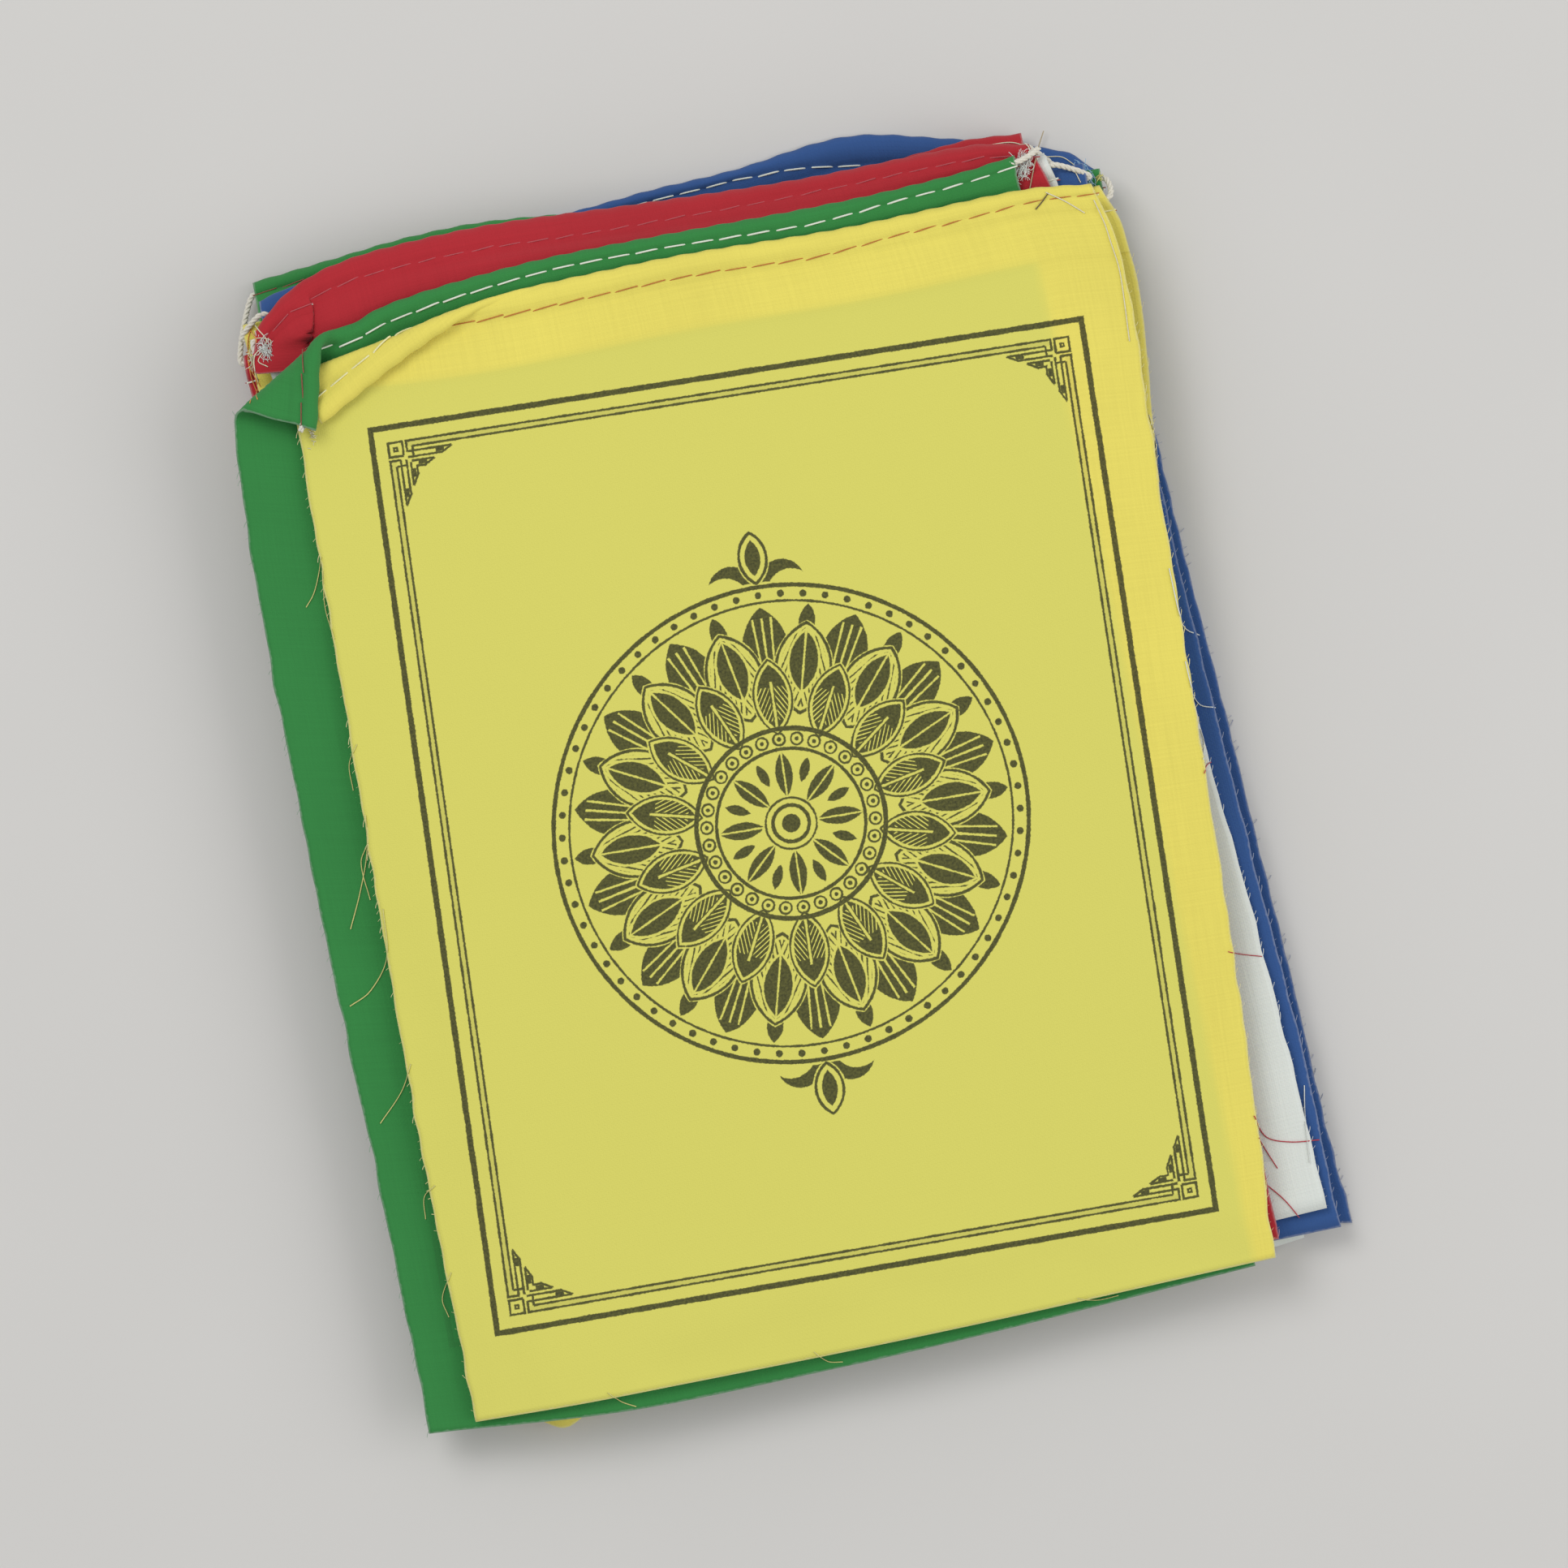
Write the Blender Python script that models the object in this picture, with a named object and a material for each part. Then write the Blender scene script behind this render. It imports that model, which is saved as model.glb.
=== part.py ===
"""A string of ten Tibetan prayer flags, folded up flag on flag into a flat pile.

Metres, +Z up. The pile lies on the plane z = 0 with the flags' headings towards +Y and the yellow
flag, the first of the string, on top. The origin is under the middle of the pile.
"""

import math

import bpy
import bmesh
from mathutils import Vector
from mathutils.bvhtree import BVHTree

MM = 0.001

# The cloth and its heading, in millimetres. A heading is the top edge turned over the string and
# sewn: a roll round the string, a stitched line under it, and then the turned-in hem.
FLAG_HEIGHT = 222.0
CLOTH_THICK = 1.0
HEM_THICK = 1.2
STITCHED_THICK = 1.0
ROLL_THICK = 2.4
ROLL_EDGE_THICK = 1.3
ROLL_DEPTH = 5.7
HEM_DEPTH = 15.0
LAYER_GAP = 0.35

# How thick the cloth is at each distance below the top edge.
HEADING_PROFILE = (
    (0.0, ROLL_EDGE_THICK),
    (0.9, 2.1),
    (2.8, ROLL_THICK),
    (4.8, 1.9),
    (ROLL_DEPTH, STITCHED_THICK),
    (7.2, HEM_THICK),
    (HEM_DEPTH - 0.5, HEM_THICK),
    (HEM_DEPTH + 0.5, CLOTH_THICK),
)
ROLL_MIDDLE_ROW = 2
PANEL_ROWS = 8
COLUMNS = 11

# How the cloth settles: the points across a face that are tried for what lies under it, and how
# often it is drawn tight over the hollows between them.
FACE_SAMPLES = 5
TIGHTENING = 5
RAY_START = 200.0
# Points of a cut count as on it within this much, and turns as begun or ended, in radians.
ON_THE_LINE = 1e-3
TURN_TOLERANCE = 2e-4
SHARP_EDGE_DEGREES = 35

# The string that joins the flags, where it turns from one heading into the next.
STRING_THICK = 1.8
STRING_SEAT_GAP = 0.3
# How tightly the middle of the string bends, and the points of each bend.
STRING_BEND_RADIUS = 1.3
STRING_BEND_POINTS = 5
# How far the first turn climbs, from the top flag's heading to the folded corner that lies on it.
FIRST_TURN_RISE = 4.0
STRING_SIDES_RESOLUTION = 2
# Where the pile is felt for under the string: in string thicknesses to each side of its middle, and
# at this many steps along it.
FELT_FOR = 0.6
FELT_STEPS = 4
SQUARE_AND_MIDDLE = ((0, 0), (1, 0), (-1, 0), (0, 1), (0, -1))

YELLOW = (0.80, 0.72, 0.14)
GREEN = (0.05, 0.27, 0.08)
RED = (0.42, 0.025, 0.035)
WHITE = (0.62, 0.66, 0.62)
BLUE = (0.035, 0.08, 0.23)
STRING_WHITE = (0.75, 0.72, 0.62)
COTTON_ROUGHNESS = 0.9

# Each flag as it lies, seen from above, in millimetres from the middle of the yellow flag. The
# corners run top left, top right, bottom right, bottom left. Points that bow an edge out of the
# straight line between its corners run left to right, or top to bottom. A dog-ear is the line that
# the top left corner is folded over, and the radius of its bend. The rows run down the pile.
FLAG_COLUMNS = ("name", "colour", "corners", "top", "right", "bottom", "left", "dog_ear")
FLAG_ROWS = (
    ("flag_01_yellow", YELLOW, ((-83.3, 118.6), (83.3, 113.7), (79.3, -107.5), (-86.8, -109.9)),
     ((-62.0, 115.6), (-41.6, 114.6), (-2.7, 115.2), (32.0, 114.4), (69.0, 115.2)),
     ((86.6, 97.7), (85.4, 51.6), (83.2, -26.0), (81.9, -60.2)),
     ((-58.5, -110.3), (11.0, -109.6)),
     ((-84.4, 96.0), (-85.8, 30.3), (-87.3, -45.0)),
     ((-84.6, 106.4), (-42.0, 113.8), 1.3)),
    ("flag_02_green", GREEN, ((-95.4, 119.6), (69.0, 122.3), (74.9, -108.5), (-96.5, -110.6)),
     ((-72.4, 113.8), (-62.5, 116.4), (-48.5, 118.3), (-25.0, 119.8), (33.3, 119.8), (57.1, 120.9)),
     (),
     ((-55.3, -113.6), (-17.9, -113.2), (22.2, -111.7)),
     ((-98.7, 69.3), (-98.5, -3.0), (-97.4, -57.0)),
     ((-98.9, 100.6), (-71.6, 116.4), 2.6)),
    ("flag_03_red", RED, ((-89.4, 116.3), (72.5, 124.2), (80.8, -104.1), (-86.0, -105.0)),
     ((-85.2, 120.2), (-80.6, 123.4), (-73.0, 126.3), (-61.9, 128.1), (-38.7, 129.0), (-8.9, 127.6),
      (25.1, 126.3), (61.0, 126.3)),
     ((75.4, 113.0), (78.2, 60.0)),
     (), (), None),
    ("flag_04_white", WHITE, ((-88.1, 111.2), (75.2, 122.0), (91.7, -99.8), (-72.9, -108.0)),
     (),
     ((77.2, 112.0), (85.2, -4.5), (88.4, -42.2), (90.4, -72.7)),
     (), (), None),
    ("flag_05_blue", BLUE, ((-87.6, 122.5), (82.6, 118.6), (93.8, -104.2), (-71.0, -107.0)),
     ((-79.8, 124.2), (-40.0, 122.0)),
     ((85.7, 52.2), (87.7, 15.0), (90.2, -26.6), (92.6, -60.0)),
     (), (), None),
    ("flag_06_yellow", YELLOW, ((-91.8, 118.5), (85.2, 113.6), (84.0, -104.4), (-82.0, -109.0)),
     (),
     ((88.4, 104.0), (89.2, 90.0), (86.5, 59.8), (83.0, 9.0), (81.4, -60.0)),
     ((-75.0, -112.0), (-69.5, -114.9), (-63.5, -112.5), (-50.0, -109.0)),
     (), None),
    ("flag_07_green", GREEN, ((-88.4, 126.8), (85.8, 117.0), (80.0, -102.0), (-90.0, -98.0)),
     ((-72.7, 128.3), (-55.5, 129.9), (-38.7, 130.0), (-10.0, 127.0)),
     (), (), (), None),
    ("flag_08_red", RED, ((-93.0, 112.5), (71.5, 127.4), (74.0, -98.0), (-92.0, -105.0)),
     ((58.0, 128.0),),
     (), (), (), None),
    ("flag_09_white", WHITE, ((-85.5, 117.5), (78.6, 118.8), (86.3, -105.2), (-80.0, -107.5)),
     (),
     (),
     ((79.6, -108.0), (70.0, -107.4)),
     (), None),
    ("flag_10_blue", BLUE, ((-86.5, 112.0), (85.0, 117.4), (96.6, -104.1), (-69.0, -107.0)),
     ((-45.0, 125.5), (-8.4, 129.9), (12.1, 131.0), (36.0, 133.6), (54.0, 130.0), (79.7, 122.2)),
     ((87.6, 52.4), (91.3, -9.3), (93.9, -57.5), (95.2, -86.0)),
     ((-30.0, -97.0), (40.0, -95.0)),
     (), None),
)

# Which side of the pile the string turns on below each flag, and how far it stands out there.
STRING_TURN_COLUMNS = ("side", "stands_out")
STRING_TURN_ROWS = (
    ("left", 3.2),
    ("right", 2.6),
    ("left", 2.4),
    ("right", 2.4),
    ("left", 2.4),
    ("right", 2.4),
    ("left", 2.4),
    ("right", 2.4),
    ("left", 2.4),
)


def clear_scene():
    """Leaves nothing of the startup scene."""
    for old in list(bpy.data.objects):
        bpy.data.objects.remove(old)


def cotton(name, colour):
    """A matt cotton of one colour, made once for all the pieces of that colour."""
    material = bpy.data.materials.get(name)
    if material is None:
        material = bpy.data.materials.new(name)
        material.use_nodes = True
        shader = material.node_tree.nodes["Principled BSDF"]
        shader.inputs["Base Color"].default_value = (*colour, 1.0)
        shader.inputs["Roughness"].default_value = COTTON_ROUGHNESS
        shader.inputs["Metallic"].default_value = 0.0
    return material


def read_between(table, at):
    """The value of a table of (place, value) pairs at a place, read in straight lines."""
    for (low, low_value), (high, high_value) in zip(table, table[1:]):
        if at <= high:
            share = max(0.0, (at - low) / (high - low))
            return low_value + share * (high_value - low_value)
    return table[-1][1]


def smooth_edge(points):
    """A function from 0 to 1 along a smooth line through the points, in even steps of its chords."""
    points = [Vector(p) for p in points]
    places = [0.0]
    for a, b in zip(points, points[1:]):
        places.append(places[-1] + (b - a).length)
    places = [p / places[-1] for p in places]
    slopes = []
    for i in range(len(points)):
        before = max(i - 1, 0)
        after = min(i + 1, len(points) - 1)
        slopes.append((points[after] - points[before]) / (places[after] - places[before]))

    def at(share):
        i = max(k for k in range(len(points) - 1) if places[k] <= share or k == 0)
        span = places[i + 1] - places[i]
        t = (share - places[i]) / span
        return (
            points[i] * (2 * t**3 - 3 * t**2 + 1)
            + slopes[i] * (span * (t**3 - 2 * t**2 + t))
            + points[i + 1] * (3 * t**2 - 2 * t**3)
            + slopes[i + 1] * (span * (t**3 - t**2))
        )

    return at


def outline_map(flag):
    """A function from (across, up), each 0 to 1, to the flag's place seen from above."""
    top_left, top_right, bottom_right, bottom_left = (Vector(c) for c in flag["corners"])
    top = smooth_edge([top_left, *flag["top"], top_right])
    bottom = smooth_edge([bottom_left, *flag["bottom"], bottom_right])
    left = smooth_edge([top_left, *flag["left"], bottom_left])
    right = smooth_edge([top_right, *flag["right"], bottom_right])

    def at(across, up):
        ruled_up = bottom(across).lerp(top(across), up)
        ruled_across = left(1 - up).lerp(right(1 - up), across)
        corners = bottom_left.lerp(bottom_right, across).lerp(top_left.lerp(top_right, across), up)
        return ruled_up + ruled_across - corners

    return at


def row_depths():
    """How far below the top edge each row of points lies."""
    rows = [depth for depth, _ in HEADING_PROFILE]
    first = rows[-1]
    rows += [first + (FLAG_HEIGHT - first) * k / PANEL_ROWS for k in range(1, PANEL_ROWS + 1)]
    return rows


class Sheet:
    """One flag: its points seen from above, how deep below the top edge each lies, and its faces."""

    def __init__(self, flag):
        self.name = flag["name"]
        self.colour = flag["colour"]
        self.dog_ear = flag["dog_ear"]
        place = outline_map(flag)
        net = bmesh.new()
        rows = []
        for depth in row_depths():
            # Each point's height carries its depth below the top edge until the cloth is laid.
            up = 1 - depth / FLAG_HEIGHT
            spots = [place(k / COLUMNS, up) for k in range(COLUMNS + 1)]
            rows.append([net.verts.new((spot.x, spot.y, depth)) for spot in spots])
        for upper, lower in zip(rows, rows[1:]):
            for k in range(COLUMNS):
                net.faces.new((lower[k], lower[k + 1], upper[k + 1], upper[k]))
        above, roll, below = rows[ROLL_MIDDLE_ROW - 1:ROLL_MIDDLE_ROW + 2]
        ends = {
            "left": (roll[0], roll[1], above[0], below[0]),
            "right": (roll[-1], roll[-2], above[-1], below[-1]),
        }
        if self.dog_ear:
            for cut in self.bend_cuts():
                geometry = net.verts[:] + net.edges[:] + net.faces[:]
                line_point, outward = self.ear_line()
                point = line_point + outward * cut
                bmesh.ops.bisect_plane(
                    net,
                    geom=geometry,
                    dist=ON_THE_LINE / 10,
                    plane_co=(*point, 0),
                    plane_no=(*outward, 0),
                )
        bmesh.ops.triangulate(net, faces=net.faces[:])
        net.verts.index_update()
        self.spots = [v.co.xy.copy() for v in net.verts]
        self.thick = [read_between(HEADING_PROFILE, v.co.z) for v in net.verts]
        self.faces = [tuple(v.index for v in f.verts) for f in net.faces]
        self.rim = []
        for edge in net.edges:
            if edge.is_boundary:
                loop = edge.link_loops[0]
                self.rim.append((loop.vert.index, loop.link_loop_next.vert.index))
        self.neighbours = [[e.other_vert(v).index for e in v.link_edges] for v in net.verts]
        self.roll_ends = {side: [v.index for v in points] for side, points in ends.items()}
        net.free()
        self.turn_ear_over()
        self.floor_side = [0.0] * len(self.spots)

    def ear_line(self):
        """A point of the dog-ear's line, and the direction from it towards the folded corner."""
        start, end, _ = self.dog_ear
        along = (Vector(end) - Vector(start)).normalized()
        return Vector(start), Vector((-along.y, along.x))

    def bend_half(self):
        """Half the width of the strip of cloth that a dog-ear's bend takes up."""
        return math.pi * self.dog_ear[2] / 2

    def bend_cuts(self):
        """Where the bend needs lines of points, measured outwards from the dog-ear's line."""
        return [self.bend_half() * k / 2 for k in (-2, -1, 0, 1, 2)]

    def turn_ear_over(self):
        """Mirrors the folded corner over the dog-ear's line, and notes how far each point turns."""
        self.turned = [0.0] * len(self.spots)
        self.lean = Vector((0, 0))
        if not self.dog_ear:
            return
        line_point, outward = self.ear_line()
        self.lean = outward
        half = self.bend_half()
        radius = self.dog_ear[2]
        for i, spot in enumerate(self.spots):
            beyond = (spot - line_point).dot(outward)
            turn = min(max((beyond + half) / radius, 0.0), math.pi)
            if turn > TURN_TOLERANCE / 2:
                folded_flat = turn > math.pi - TURN_TOLERANCE / 2
                new_place = -beyond if folded_flat else radius * math.sin(turn) - half
                self.spots[i] = spot + outward * (new_place - beyond)
                self.turned[i] = turn

    def layer(self, ear):
        """The faces of the ear that is folded over, or those of the rest, without the bend."""
        if ear:
            over = math.pi - TURN_TOLERANCE
            return [f for f in self.faces if all(self.turned[i] > over for i in f)]
        return [f for f in self.faces if all(self.turned[i] < TURN_TOLERANCE for i in f)]


class Pile:
    """The upper faces of all that is already laid down, for the next piece to lie on."""

    def __init__(self):
        self.trees = []

    def add(self, points, faces):
        self.trees.append(BVHTree.FromPolygons(points, faces))

    def top(self, spot, layers=None):
        """How high the pile reaches at a spot, or how high its first layers do."""
        start = Vector((spot.x, spot.y, RAY_START))
        heights = [0.0]
        for tree in self.trees[:layers]:
            hit = tree.ray_cast(start, Vector((0, 0, -1)))[0]
            if hit is not None:
                heights.append(hit.z)
        return max(heights)

    def top_under(self, corners):
        """The highest point under a triangle, from a net of points across it."""
        highest = 0.0
        for i in range(FACE_SAMPLES + 1):
            for j in range(FACE_SAMPLES + 1 - i):
                shares = (i / FACE_SAMPLES, j / FACE_SAMPLES, 1 - (i + j) / FACE_SAMPLES)
                spot = sum((c * s for c, s in zip(corners, shares)), Vector((0, 0)))
                highest = max(highest, self.top(spot))
        return highest


def settle(sheet, pile, ear=False):
    """Lays one layer of a flag on the pile: nowhere into it, and tight over its hollows."""
    faces = sheet.layer(ear)
    used = sorted({i for f in faces for i in f})
    lowest = dict.fromkeys(used, 0.0)
    for face in faces:
        needed = pile.top_under([sheet.spots[i] for i in face])
        for i in face:
            lowest[i] = max(lowest[i], needed)
    gap = LAYER_GAP if pile.trees else 0.0
    for i in used:
        lowest[i] += gap
    for _ in range(TIGHTENING if pile.trees else 0):
        means = {}
        for i in used:
            around = [lowest[k] for k in sheet.neighbours[i] if k in lowest]
            means[i] = sum(around) / len(around)
        lowest = {i: max(lowest[i], means[i]) for i in used}
    for i in used:
        sheet.floor_side[i] = lowest[i]
    upper = [Vector((*s, sheet.floor_side[i] + sheet.thick[i])) for i, s in enumerate(sheet.spots)]
    pile.add(upper, faces)


def close_bend(sheet):
    """Sets the middle of each point of the bend between the heights of the two layers it joins."""
    line_point, outward = sheet.ear_line()
    along = Vector((outward.y, -outward.x))
    edges = {"main": [], "ear": []}
    bent = []
    for i, turn in enumerate(sheet.turned):
        place = (sheet.spots[i] - line_point).dot(along)
        middle = sheet.floor_side[i] + sheet.thick[i] / 2
        inside = (sheet.spots[i] - line_point).dot(outward) + sheet.bend_half()
        if TURN_TOLERANCE < turn < math.pi - TURN_TOLERANCE:
            bent.append((i, place, turn))
        elif abs(inside) < ON_THE_LINE:
            edges["ear" if turn else "main"].append((place, middle))
    low_edge = sorted(edges["main"])
    high_edge = sorted(edges["ear"])
    for i, place, turn in bent:
        low = read_between(low_edge, place)
        high = read_between(high_edge, place)
        middle = low + (high - low) * (1 - math.cos(turn)) / 2
        sheet.floor_side[i] = middle - sheet.thick[i] / 2


def both_sides(sheet):
    """The points of a flag's two sides. Over a bend the cloth's own direction turns with it."""
    under = []
    over = []
    for i, spot in enumerate(sheet.spots):
        turn = sheet.turned[i]
        middle = Vector((*spot, sheet.floor_side[i] + sheet.thick[i] / 2))
        flat = -sheet.lean * math.sin(turn)
        half = Vector((*flat, math.cos(turn))) * (sheet.thick[i] / 2)
        under.append(middle - half)
        over.append(middle + half)
    return under, over


def make_flag(sheet):
    """The flag's closed solid: both sides, and the rim between them."""
    under, over = both_sides(sheet)
    count = len(under)
    faces = [tuple(reversed(f)) for f in sheet.faces]
    faces += [tuple(i + count for i in f) for f in sheet.faces]
    faces += [(a, b, b + count, a + count) for a, b in sheet.rim]
    mesh = bpy.data.meshes.new(sheet.name)
    mesh.from_pydata([p * MM for p in under + over], [], faces)
    mesh.shade_smooth()
    mesh.set_sharp_from_angle(angle=math.radians(SHARP_EDGE_DEGREES))
    mesh.materials.append(cotton(sheet.name.split("_")[-1] + "_cotton", sheet.colour))
    flag = bpy.data.objects.new(sheet.name, mesh)
    bpy.context.scene.collection.objects.link(flag)
    return flag


def heading_end(sheet, side):
    """Where the string comes out of a heading's roll, and the level direction square to its end."""
    end, inner, above, below = sheet.roll_ends[side]
    edge = sheet.spots[above] - sheet.spots[below]
    out = Vector((-edge.y, edge.x)).normalized()
    if out.dot(sheet.spots[end] - sheet.spots[inner]) < 0:
        out = -out
    height = sheet.floor_side[end] + sheet.thick[end] / 2
    return Vector((*sheet.spots[end], height)), Vector((*out, 0))


def clear_height(pile, start, end, layers):
    """How high the string's middle has to be from start to end to clear the first layers of the pile."""
    highest = 0.0
    for k in range(FELT_STEPS + 1):
        middle = start.xy.lerp(end.xy, k / FELT_STEPS)
        for step in SQUARE_AND_MIDDLE:
            spot = middle + Vector(step) * STRING_THICK * FELT_FOR
            highest = max(highest, pile.top(spot, layers))
    return highest + STRING_THICK / 2 + STRING_SEAT_GAP


def rounded(corners):
    """The points of a line through the corners, with each corner but the ends rounded off."""
    points = [corners[0]]
    last = len(corners) - 2
    for k, (before, corner, after) in enumerate(zip(corners, corners[1:], corners[2:]), start=1):
        back = (before - corner).normalized()
        forth = (after - corner).normalized()
        half_angle = back.angle(forth) / 2
        # Two bends share the stretch between them, and an end stretch keeps a short straight stub.
        room_back = (before - corner).length * (0.9 if k == 1 else 0.5)
        room_forth = (after - corner).length * (0.9 if k == last else 0.5)
        cut = min(STRING_BEND_RADIUS / math.tan(half_angle), room_back, room_forth)
        radius = cut * math.tan(half_angle)
        centre = corner + (back + forth).normalized() * (radius / math.sin(half_angle))
        first_arm = (corner + back * cut - centre).normalized()
        last_arm = (corner + forth * cut - centre).normalized()
        for step in range(STRING_BEND_POINTS):
            arm = first_arm.slerp(last_arm, step / (STRING_BEND_POINTS - 1))
            points.append(centre + arm * radius)
    return points + [corners[-1]]


def turn_route(upper, lower, turn, pile, below_upper, below_lower, rise=None):
    """The string's way out of one heading and back into the next, clear of the layers below each."""
    side = turn["side"]
    start, start_out = heading_end(upper, side)
    end, end_out = heading_end(lower, side)
    if rise is not None:
        end.z = start.z + rise
    # Both ends come out past the end of the heading that stands out further.
    start_reach = turn["stands_out"] + max(0.0, (end - start).dot(start_out))
    end_reach = turn["stands_out"] + max(0.0, (start - end).dot(end_out))
    leaves = start + start_out * start_reach
    returns = end + end_out * end_reach
    leaves.z = max(start.z, clear_height(pile, start, leaves, below_upper))
    returns.z = max(end.z, clear_height(pile, end, returns, below_lower))
    first = start + start_out * STRING_SEAT_GAP
    last = end + end_out * STRING_SEAT_GAP
    return rounded([first, leaves, returns, last])


def make_string_turn(name, route):
    """A short tube along the route, with closed ends."""
    curve = bpy.data.curves.new(name, "CURVE")
    curve.dimensions = "3D"
    curve.bevel_depth = STRING_THICK / 2 * MM
    curve.bevel_resolution = STRING_SIDES_RESOLUTION
    curve.use_fill_caps = True
    spline = curve.splines.new("POLY")
    spline.points.add(len(route) - 1)
    for spot, point in zip(spline.points, route):
        spot.co = (*(point * MM), 1.0)
    curve.materials.append(cotton("string_cotton", STRING_WHITE))
    turn = bpy.data.objects.new(name, curve)
    bpy.context.scene.collection.objects.link(turn)
    return turn


def centre_pile(objects):
    """Moves the whole pile so that the origin lies under the middle of its outline."""
    graph = bpy.context.evaluated_depsgraph_get()
    corners = []
    for obj in objects:
        mesh = obj.evaluated_get(graph).to_mesh()
        corners += [v.co.copy() for v in mesh.vertices]
    middle = Vector((
        (min(c.x for c in corners) + max(c.x for c in corners)) / 2,
        (min(c.y for c in corners) + max(c.y for c in corners)) / 2,
        0,
    ))
    for obj in objects:
        obj.location = -middle


def lay_turn(k, route, pile):
    """Lays the string's turn below flag k along a route, for the flags above to lie on too."""
    turn = make_string_turn(f"string_turn_{k + 1:02d}", route)
    mesh = turn.evaluated_get(bpy.context.evaluated_depsgraph_get()).to_mesh()
    pile.add([v.co / MM for v in mesh.vertices], [tuple(p.vertices) for p in mesh.polygons])
    return turn


def main():
    clear_scene()
    sheets = [Sheet(dict(zip(FLAG_COLUMNS, row))) for row in FLAG_ROWS]
    turns = [dict(zip(STRING_TURN_COLUMNS, row)) for row in STRING_TURN_ROWS]
    pile = Pile()
    objects = []

    # The pile is laid from the bottom up, and each turn of the string goes in before the next flag.
    layers_below = {}
    for k in reversed(range(len(sheets))):
        layers_below[k] = len(pile.trees)
        settle(sheets[k], pile)
        if 0 < k < len(turns):
            below = layers_below[k], layers_below[k + 1]
            route = turn_route(sheets[k], sheets[k + 1], turns[k], pile, *below)
            objects.append(lay_turn(k, route, pile))

    # The top two flags' left corners are folded over, the second one over the string between them.
    top, second = sheets[:2]
    below = len(pile.trees), len(pile.trees)
    settle(top, pile, ear=True)
    close_bend(top)
    draft = turn_route(top, second, turns[0], pile, *below, FIRST_TURN_RISE)
    bpy.data.objects.remove(lay_turn(0, draft, pile))
    settle(second, pile, ear=True)
    close_bend(second)
    objects.append(lay_turn(0, turn_route(top, second, turns[0], pile, *below), pile))

    objects += [make_flag(sheet) for sheet in sheets]
    centre_pile(objects)


main()
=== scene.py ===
# %% [markdown]
# # A string of Tibetan prayer flags, folded into a pile
# Ten printed cotton flags hang on one string. Here the string is put away: each flag lies folded on
# the next, back and forth, with all the headings at one edge of the pile.
#
# The solids of the pile come first, as a fixed frame. They are thick and plain. Every piece below
# is laid in the place of one of them, so that the pile keeps its size from every side.

# %% Load the pile's solids
import math

import bpy
import numpy as np
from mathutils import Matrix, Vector
from mathutils.bvhtree import BVHTree


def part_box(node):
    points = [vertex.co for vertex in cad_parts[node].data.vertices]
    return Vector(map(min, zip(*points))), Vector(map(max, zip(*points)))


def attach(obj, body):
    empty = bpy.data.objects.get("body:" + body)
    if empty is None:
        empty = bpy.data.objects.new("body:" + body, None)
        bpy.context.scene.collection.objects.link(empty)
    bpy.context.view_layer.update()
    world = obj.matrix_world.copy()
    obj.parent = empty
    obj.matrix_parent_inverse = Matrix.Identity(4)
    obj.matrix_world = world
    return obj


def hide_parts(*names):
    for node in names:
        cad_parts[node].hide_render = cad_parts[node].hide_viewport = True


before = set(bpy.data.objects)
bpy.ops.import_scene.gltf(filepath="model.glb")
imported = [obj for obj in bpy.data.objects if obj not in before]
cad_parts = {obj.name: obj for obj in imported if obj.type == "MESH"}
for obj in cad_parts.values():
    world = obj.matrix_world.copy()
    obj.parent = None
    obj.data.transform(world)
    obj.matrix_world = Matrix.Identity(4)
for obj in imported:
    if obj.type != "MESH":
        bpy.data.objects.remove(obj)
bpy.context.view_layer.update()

# %% [markdown]
# ## One place to measure from
# The flags were measured in millimetres from the middle of the top flag, but the frame's origin lies
# under the middle of the whole pile. The step between the two could be typed in, but then it would
# be wrong as soon as a flag moved. Two corners that both know give it exactly.

# %% The step from the top flag's middle to the frame's origin
MM = 0.001
BLUE_RIGHT_CORNER = 96.6
WHITE_TOP_CORNER = 122.0
blue_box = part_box("flag_10_blue")
white_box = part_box("flag_04_white")
shift = np.array([blue_box[1].x / MM - BLUE_RIGHT_CORNER, white_box[1].y / MM - WHITE_TOP_CORNER, 0.0])


def in_frame(points):
    """Millimetres from the middle of the top flag, turned into the frame's metres."""
    return (np.asarray(points, float) + shift) * MM


print("step in mm:", shift.round(2))

# %% [markdown]
# ## The camera
# The pile is seen from straight above, a little turned. A camera close above would show the lower
# flags smaller than the top one and push them inwards. A real photographer steps back and zooms in,
# and so does this one: from far away all ten layers keep their true places.

# %% A camera far above the pile
VIEW_WIDTH = 318.8
VIEW_MIDDLE = (-0.9, 5.9)
VIEW_TURN = math.radians(-10.8)
CAMERA_HEIGHT = 2600.0
PILE_HEIGHT = 18.0

camera_data = bpy.data.cameras.new("camera")
camera_data.sensor_width = 36.0
camera_data.lens = camera_data.sensor_width * (CAMERA_HEIGHT - PILE_HEIGHT) / VIEW_WIDTH
camera = bpy.data.objects.new("camera", camera_data)
camera.location = in_frame((*VIEW_MIDDLE, CAMERA_HEIGHT))
camera.rotation_euler = (0.0, 0.0, VIEW_TURN)
camera_data.clip_end = 50.0
bpy.context.scene.collection.objects.link(camera)
bpy.context.scene.camera = camera
print("lens in mm:", round(camera_data.lens))

# %% [markdown]
# ## Floor and light
# A plain pale floor and one big soft light from the upper left let the folds show without hard
# shadows. A second, weak light fills the other side.

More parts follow.
